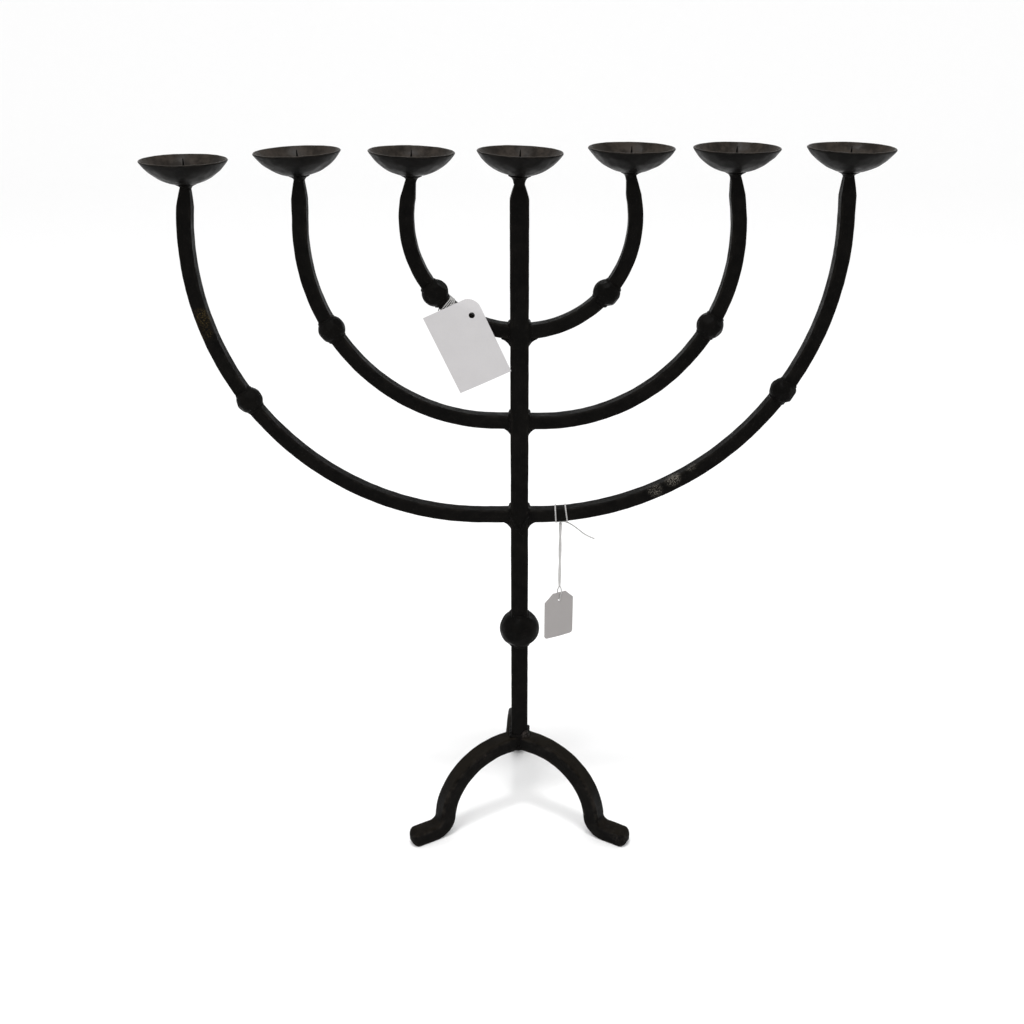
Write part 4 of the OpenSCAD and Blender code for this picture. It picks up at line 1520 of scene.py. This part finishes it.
def build_card():
    """The white card, its upper right corner curled back."""
    tags = bpy.context.scene.menorah_tags
    low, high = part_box("tag_card")
    foot = Vector((low.x + CARD_SIZE[1] * sin(CARD_LEAN), (low.y + high.y) / 2, low.z))
    right = Vector((cos(CARD_LEAN), 0, sin(CARD_LEAN)))
    up = Vector((-sin(CARD_LEAN), 0, cos(CARD_LEAN)))
    back = Vector((0, 1, 0))
    fold = Vector((50.6, 55)) * MM
    across = Vector((0.737, 0.676)).normalized()
    r = tags.curl_radius

    def place(u, v):
        """A point of the card, rolled back past the fold and a little dished elsewhere."""
        over = (Vector((u, v)) - fold).dot(across)
        bow = 0.7 * MM * sin(pi * u / CARD_SIZE[0]) * (1 - v / CARD_SIZE[1])
        if over <= 0:
            return foot + right * u + up * v - back * bow
        flat = Vector((u, v)) - across * over
        rolled = flat + across * r * sin(over / r)
        depth = r * (1 - cos(over / r))
        return foot + right * rolled.x + up * rolled.y + back * (depth - bow)

    mesh = cut_sheet(card_outline(), CARD_HOLE, CARD_HOLE_R, 2 * MM, place)
    card = thickened("white_card", mesh, 0.45 * MM, "card_paper")
    finished(card, "card", "tag_paper", "tag_card")


def loop_points():
    """The doubled string over the outer right arm: down to the knot at the front and at the back."""
    knot = middle("ticket_knot")
    low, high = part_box("ticket_loop")
    arm = arm_shape("outer", "right")
    out_of_arm = ARM_W / 2 + STRING_D / 2
    points = []
    for side, x in ((-1, low.x + STRING_D / 2), (1, high.x - STRING_D / 2)):
        angle = acos((x - STEM.x - arm.start) / arm.r)
        centre, down = on_arm(arm, angle)
        lean = Vector((side * 0.9, 0, 0)) * MM
        around = []
        for i in range(5, 40):
            across, deep = round_the_bar(2 * pi * i / 44, out_of_arm)
            around.append(centre + down * across + Vector((0, deep, 0)) + lean * (i / 44 - 0.5))
        run = [knot + Vector((side * 0.8, 0.6, 0.3)) * MM, *around]
        run.append(knot + Vector((side * 0.8, -0.6, 0.3)) * MM)
        points.append(run)
    return points


def joined(name, pieces):
    """Joins the meshes of pieces into one object."""
    bm = bmesh.new()
    for piece in pieces:
        bm.from_mesh(piece.data)
    mesh = bpy.data.meshes.new(name)
    bm.to_mesh(mesh)
    bm.free()
    mesh.materials.append(pieces[0].data.materials[0])
    for piece in pieces:
        bpy.data.objects.remove(piece)
    return placed_object(name, mesh)


def build_ticket_string():
    """The loop over the arm, the knot, its free tail, the strands and the eye."""
    tags = bpy.context.scene.menorah_tags
    values = {"Diameter": STRING_D, "Lay Length": tags.lay_length, "Material": finish("twine")}
    turns = [
        grown(f"loop_turn_{i}", "string", values, line_mesh(eased(run, 0.45 * MM)))
        for i, run in enumerate(loop_points())
    ]
    finished(joined("string_loop", turns), "menorah", "twine", "ticket_loop")
    knot = middle("ticket_knot")
    size = 0.95 * MM
    steps = 90
    curve = []
    for i in range(steps + 1):
        t = 2 * pi * i / steps
        x = sin(t) + 2 * sin(2 * t)
        z = cos(t) - 2 * cos(2 * t)
        curve.append(knot + Vector((x * 0.42, -sin(3 * t) * 0.75, z * 0.45)) * size)
    string("string_knot", curve, "menorah", "ticket_knot", diameter=STRING_D)
    tail_line = eased([knot + Vector(p) * MM for p in TAIL_ROUTE], 0.45 * MM)
    tail = string("string_tail", tail_line, "menorah", "ticket_tail")
    low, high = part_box("ticket_strands")
    x = (low.x + high.x) / 2
    y = (low.y + high.y) / 2
    strands_line = [Vector(p) for p in straight((x, y, high.z), (x, y, low.z), 0.6 * MM)]
    strands = string(
        "twisted_strands", strands_line, "ticket_cord", "ticket_strands", 2 * STRING_D, 55 * MM
    )
    hole = middle("ticket")
    hole.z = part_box("ticket")[1].z - TICKET_HOLE_DOWN
    turn = Matrix.Rotation(TICKET_TURN, 3, "Z")
    half = [Vector(p) for p in EYE_HALF]
    other = [Vector((-p.x, -p.y, p.z)) for p in reversed(half[:-1])]
    eye_line = eased([hole + turn @ p * MM for p in half + other], 0.45 * MM)
    eye = string("string_eye", eye_line, "ticket", "ticket_eye")


def ticket_outline():
    """The ticket, from its hole: clipped at the top, round at the foot."""
    half = TICKET_SIZE[0] / 2
    top = TICKET_HOLE_DOWN
    foot = top - TICKET_SIZE[1]
    r = TICKET_CORNER
    left_foot = arc((r - half, foot + r), r, 180, 270, MM)
    right_foot = arc((half - r, foot + r), r, 270, 360, MM)
    corners = [
        (TICKET_CLIP - half, top), (-half, top - TICKET_CLIP), *left_foot, *right_foot,
        (half, top - TICKET_CLIP), (half - TICKET_CLIP, top),
    ]
    return stepped(corners, 1.6 * MM)


def build_ticket():
    """The ticket, its board painted darker as shade, a little bowed."""
    low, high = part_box("ticket")
    centre = (low + high) / 2
    hole = Vector((centre.x, centre.y, high.z - TICKET_HOLE_DOWN))
    turn = Matrix.Rotation(TICKET_TURN, 3, "Z")

    def place(u, v):
        """A point of the ticket, counted from its hole."""
        bow = 0.8 * MM * (u / (TICKET_SIZE[0] / 2)) ** 2
        return hole + turn @ Vector((u, bow, v))

    mesh = cut_sheet(ticket_outline(), (0, 0), 1.6 * MM, 1.8 * MM, place)
    ticket = thickened("ticket_in_painted_shade", mesh, 0.45 * MM, "ticket_paper_in_painted_shade")
    finished(ticket, "ticket", "tag_paper", "ticket")


# ---------------------------------------------------------------- the studio


def lamp(name, place, target, size, power):
    """A soft square lamp."""
    light = bpy.data.lights.new(name, "AREA")
    light.shape = "SQUARE"
    light.size = size
    light.energy = power
    obj = bpy.data.objects.new(name, light)
    bpy.context.scene.collection.objects.link(obj)
    obj.location = place
    obj.rotation_euler = (Vector(target) - Vector(place)).to_track_quat("-Z", "Y").to_euler()
    return obj


def build_stage():
    """The white sweep, the light and the camera."""
    studio = bpy.context.scene.menorah_studio
    curve_r = 2.0
    front = -5.0
    back = 4.0
    top = 6.0
    half = 7.0
    profile = chained(
        straight((front, 0), (back, 0), 0.5),
        arc((back, curve_r), curve_r, 270, 360, 0.12),
        straight((back + curve_r, curve_r), (back + curve_r, top), 0.5),
    )
    verts = [(x, y, z) for y, z in profile for x in (-half, half)]
    faces = [(2 * i, 2 * i + 1, 2 * i + 3, 2 * i + 2) for i in range(len(profile) - 1)]
    mesh = bpy.data.meshes.new("paper_sweep")
    mesh.from_pydata(verts, [], faces)
    mesh.materials.append(finish("paper_sweep"))
    sweep = placed_object("paper_sweep", mesh)
    sweep.data.shade_smooth()
    world = bpy.data.worlds.new("white_room")
    world.use_nodes = True
    background = world.node_tree.nodes["Background"]
    background.inputs["Color"].default_value = (1, 1, 1, 1)
    background.inputs["Strength"].default_value = studio.room
    bpy.context.scene.world = world
    bpy.context.scene.view_settings.view_transform = "Standard"
    lamp("key", from_stem(-109, -350, 2298), from_stem(0, 0, 0), 0.3, studio.key)
    lamp("soft_box", from_stem(-600, -1300, 2150), from_stem(0, 0, 640), 0.5, studio.fill)
    camera_data = bpy.data.cameras.new("camera")
    camera_data.sensor_width = SENSOR_MM
    camera_data.lens = LENS_MM
    camera_data.shift_x, camera_data.shift_y = CAMERA_SHIFT
    camera = bpy.data.objects.new("camera", camera_data)
    bpy.context.scene.collection.objects.link(camera)
    camera.location = from_stem(*CAMERA_PLACE)
    camera.rotation_euler = (radians(90 - CAMERA_DOWN), 0, 0)
    bpy.context.scene.camera = camera


# ---------------------------------------------------------------- operators and panel


def make(*builders):
    """Runs builders in order, with the node trees ready. Any error stops the operator."""
    make_trees()
    for build in builders:
        build()
    return {"FINISHED"}


class MENORAH_OT_stage(bpy.types.Operator):
    """Add the white sweep, the lights and the camera"""

    bl_idname = "menorah.stage"
    bl_label = "Studio"

    def execute(self, context):
        return make(build_stage)


class MENORAH_OT_ticket(bpy.types.Operator):
    """Add the ticket, painted darker as shade, and its string"""

    bl_idname = "menorah.ticket"
    bl_label = "Ticket"

    def execute(self, context):
        return make(build_ticket, build_ticket_string)


class MENORAH_OT_card(bpy.types.Operator):
    """Add the white card and its string"""

    bl_idname = "menorah.card"
    bl_label = "Card"

    def execute(self, context):
        return make(build_card, build_card_string)


class MENORAH_OT_stem(bpy.types.Operator):
    """Forge the square stem"""

    bl_idname = "menorah.stem"
    bl_label = "Stem"

    def execute(self, context):
        return make(build_stem)


class MENORAH_OT_arms(bpy.types.Operator):
    """Forge the six curved arms"""

    bl_idname = "menorah.arms"
    bl_label = "Arms"

    def execute(self, context):
        return make(build_arms)


class MENORAH_OT_balls(bpy.types.Operator):
    """Forge the ball on the stem and those on the arms"""

    bl_idname = "menorah.balls"
    bl_label = "Balls"

    def execute(self, context):
        return make(build_balls)


class MENORAH_OT_pans(bpy.types.Operator):
    """Sink the seven pans"""

    bl_idname = "menorah.pans"
    bl_label = "Pans"

    def execute(self, context):
        return make(build_pans)


class MENORAH_OT_prickets(bpy.types.Operator):
    """Draw the seven prickets"""

    bl_idname = "menorah.prickets"
    bl_label = "Prickets"

    def execute(self, context):
        return make(build_prickets)


class MENORAH_OT_legs(bpy.types.Operator):
    """Forge the three legs"""

    bl_idname = "menorah.legs"
    bl_label = "Legs"

    def execute(self, context):
        return make(build_legs)


class MENORAH_OT_welds(bpy.types.Operator):
    """Run the weld metal at every joint"""

    bl_idname = "menorah.welds"
    bl_label = "Welds"

    def execute(self, context):
        return make(build_welds)


OPERATORS = [
    MENORAH_OT_stage,
    MENORAH_OT_ticket,
    MENORAH_OT_card,
    MENORAH_OT_stem,
    MENORAH_OT_arms,
    MENORAH_OT_balls,
    MENORAH_OT_pans,
    MENORAH_OT_prickets,
    MENORAH_OT_legs,
    MENORAH_OT_welds,
]


class MENORAH_PT_build(bpy.types.Panel):
    """Everything that the menorah is made of"""

    bl_label = "Menorah"
    bl_idname = "MENORAH_PT_build"
    bl_space_type = "VIEW_3D"
    bl_region_type = "UI"
    bl_category = "Menorah"

    def draw(self, context):
        """Lists the settings and the steps."""
        layout = self.layout
        for name in SETTINGS:
            settings = getattr(context.scene, name)
            box = layout.box()
            for label in settings.__annotations__:
                box.prop(settings, label)
        for operator in OPERATORS:
            layout.operator(operator.bl_idname)


SETTINGS = {
    "menorah_iron": ForgedIronSettings,
    "menorah_tags": TagSettings,
    "menorah_studio": StudioSettings,
}


def register():
    """Registers the settings, the steps and the panel."""
    for name, settings in SETTINGS.items():
        bpy.utils.register_class(settings)
        setattr(bpy.types.Scene, name, PointerProperty(type=settings))
    for operator in OPERATORS:
        bpy.utils.register_class(operator)
    bpy.utils.register_class(MENORAH_PT_build)


def unregister():
    """Takes them out again."""
    bpy.utils.unregister_class(MENORAH_PT_build)
    for operator in reversed(OPERATORS):
        bpy.utils.unregister_class(operator)
    for name, settings in SETTINGS.items():
        delattr(bpy.types.Scene, name)
        bpy.utils.unregister_class(settings)


def main():
    """Builds the menorah."""
    register()
    for operator in OPERATORS:
        getattr(bpy.ops.menorah, operator.bl_idname.split(".")[1])()


if __name__ == "__main__":
    main()
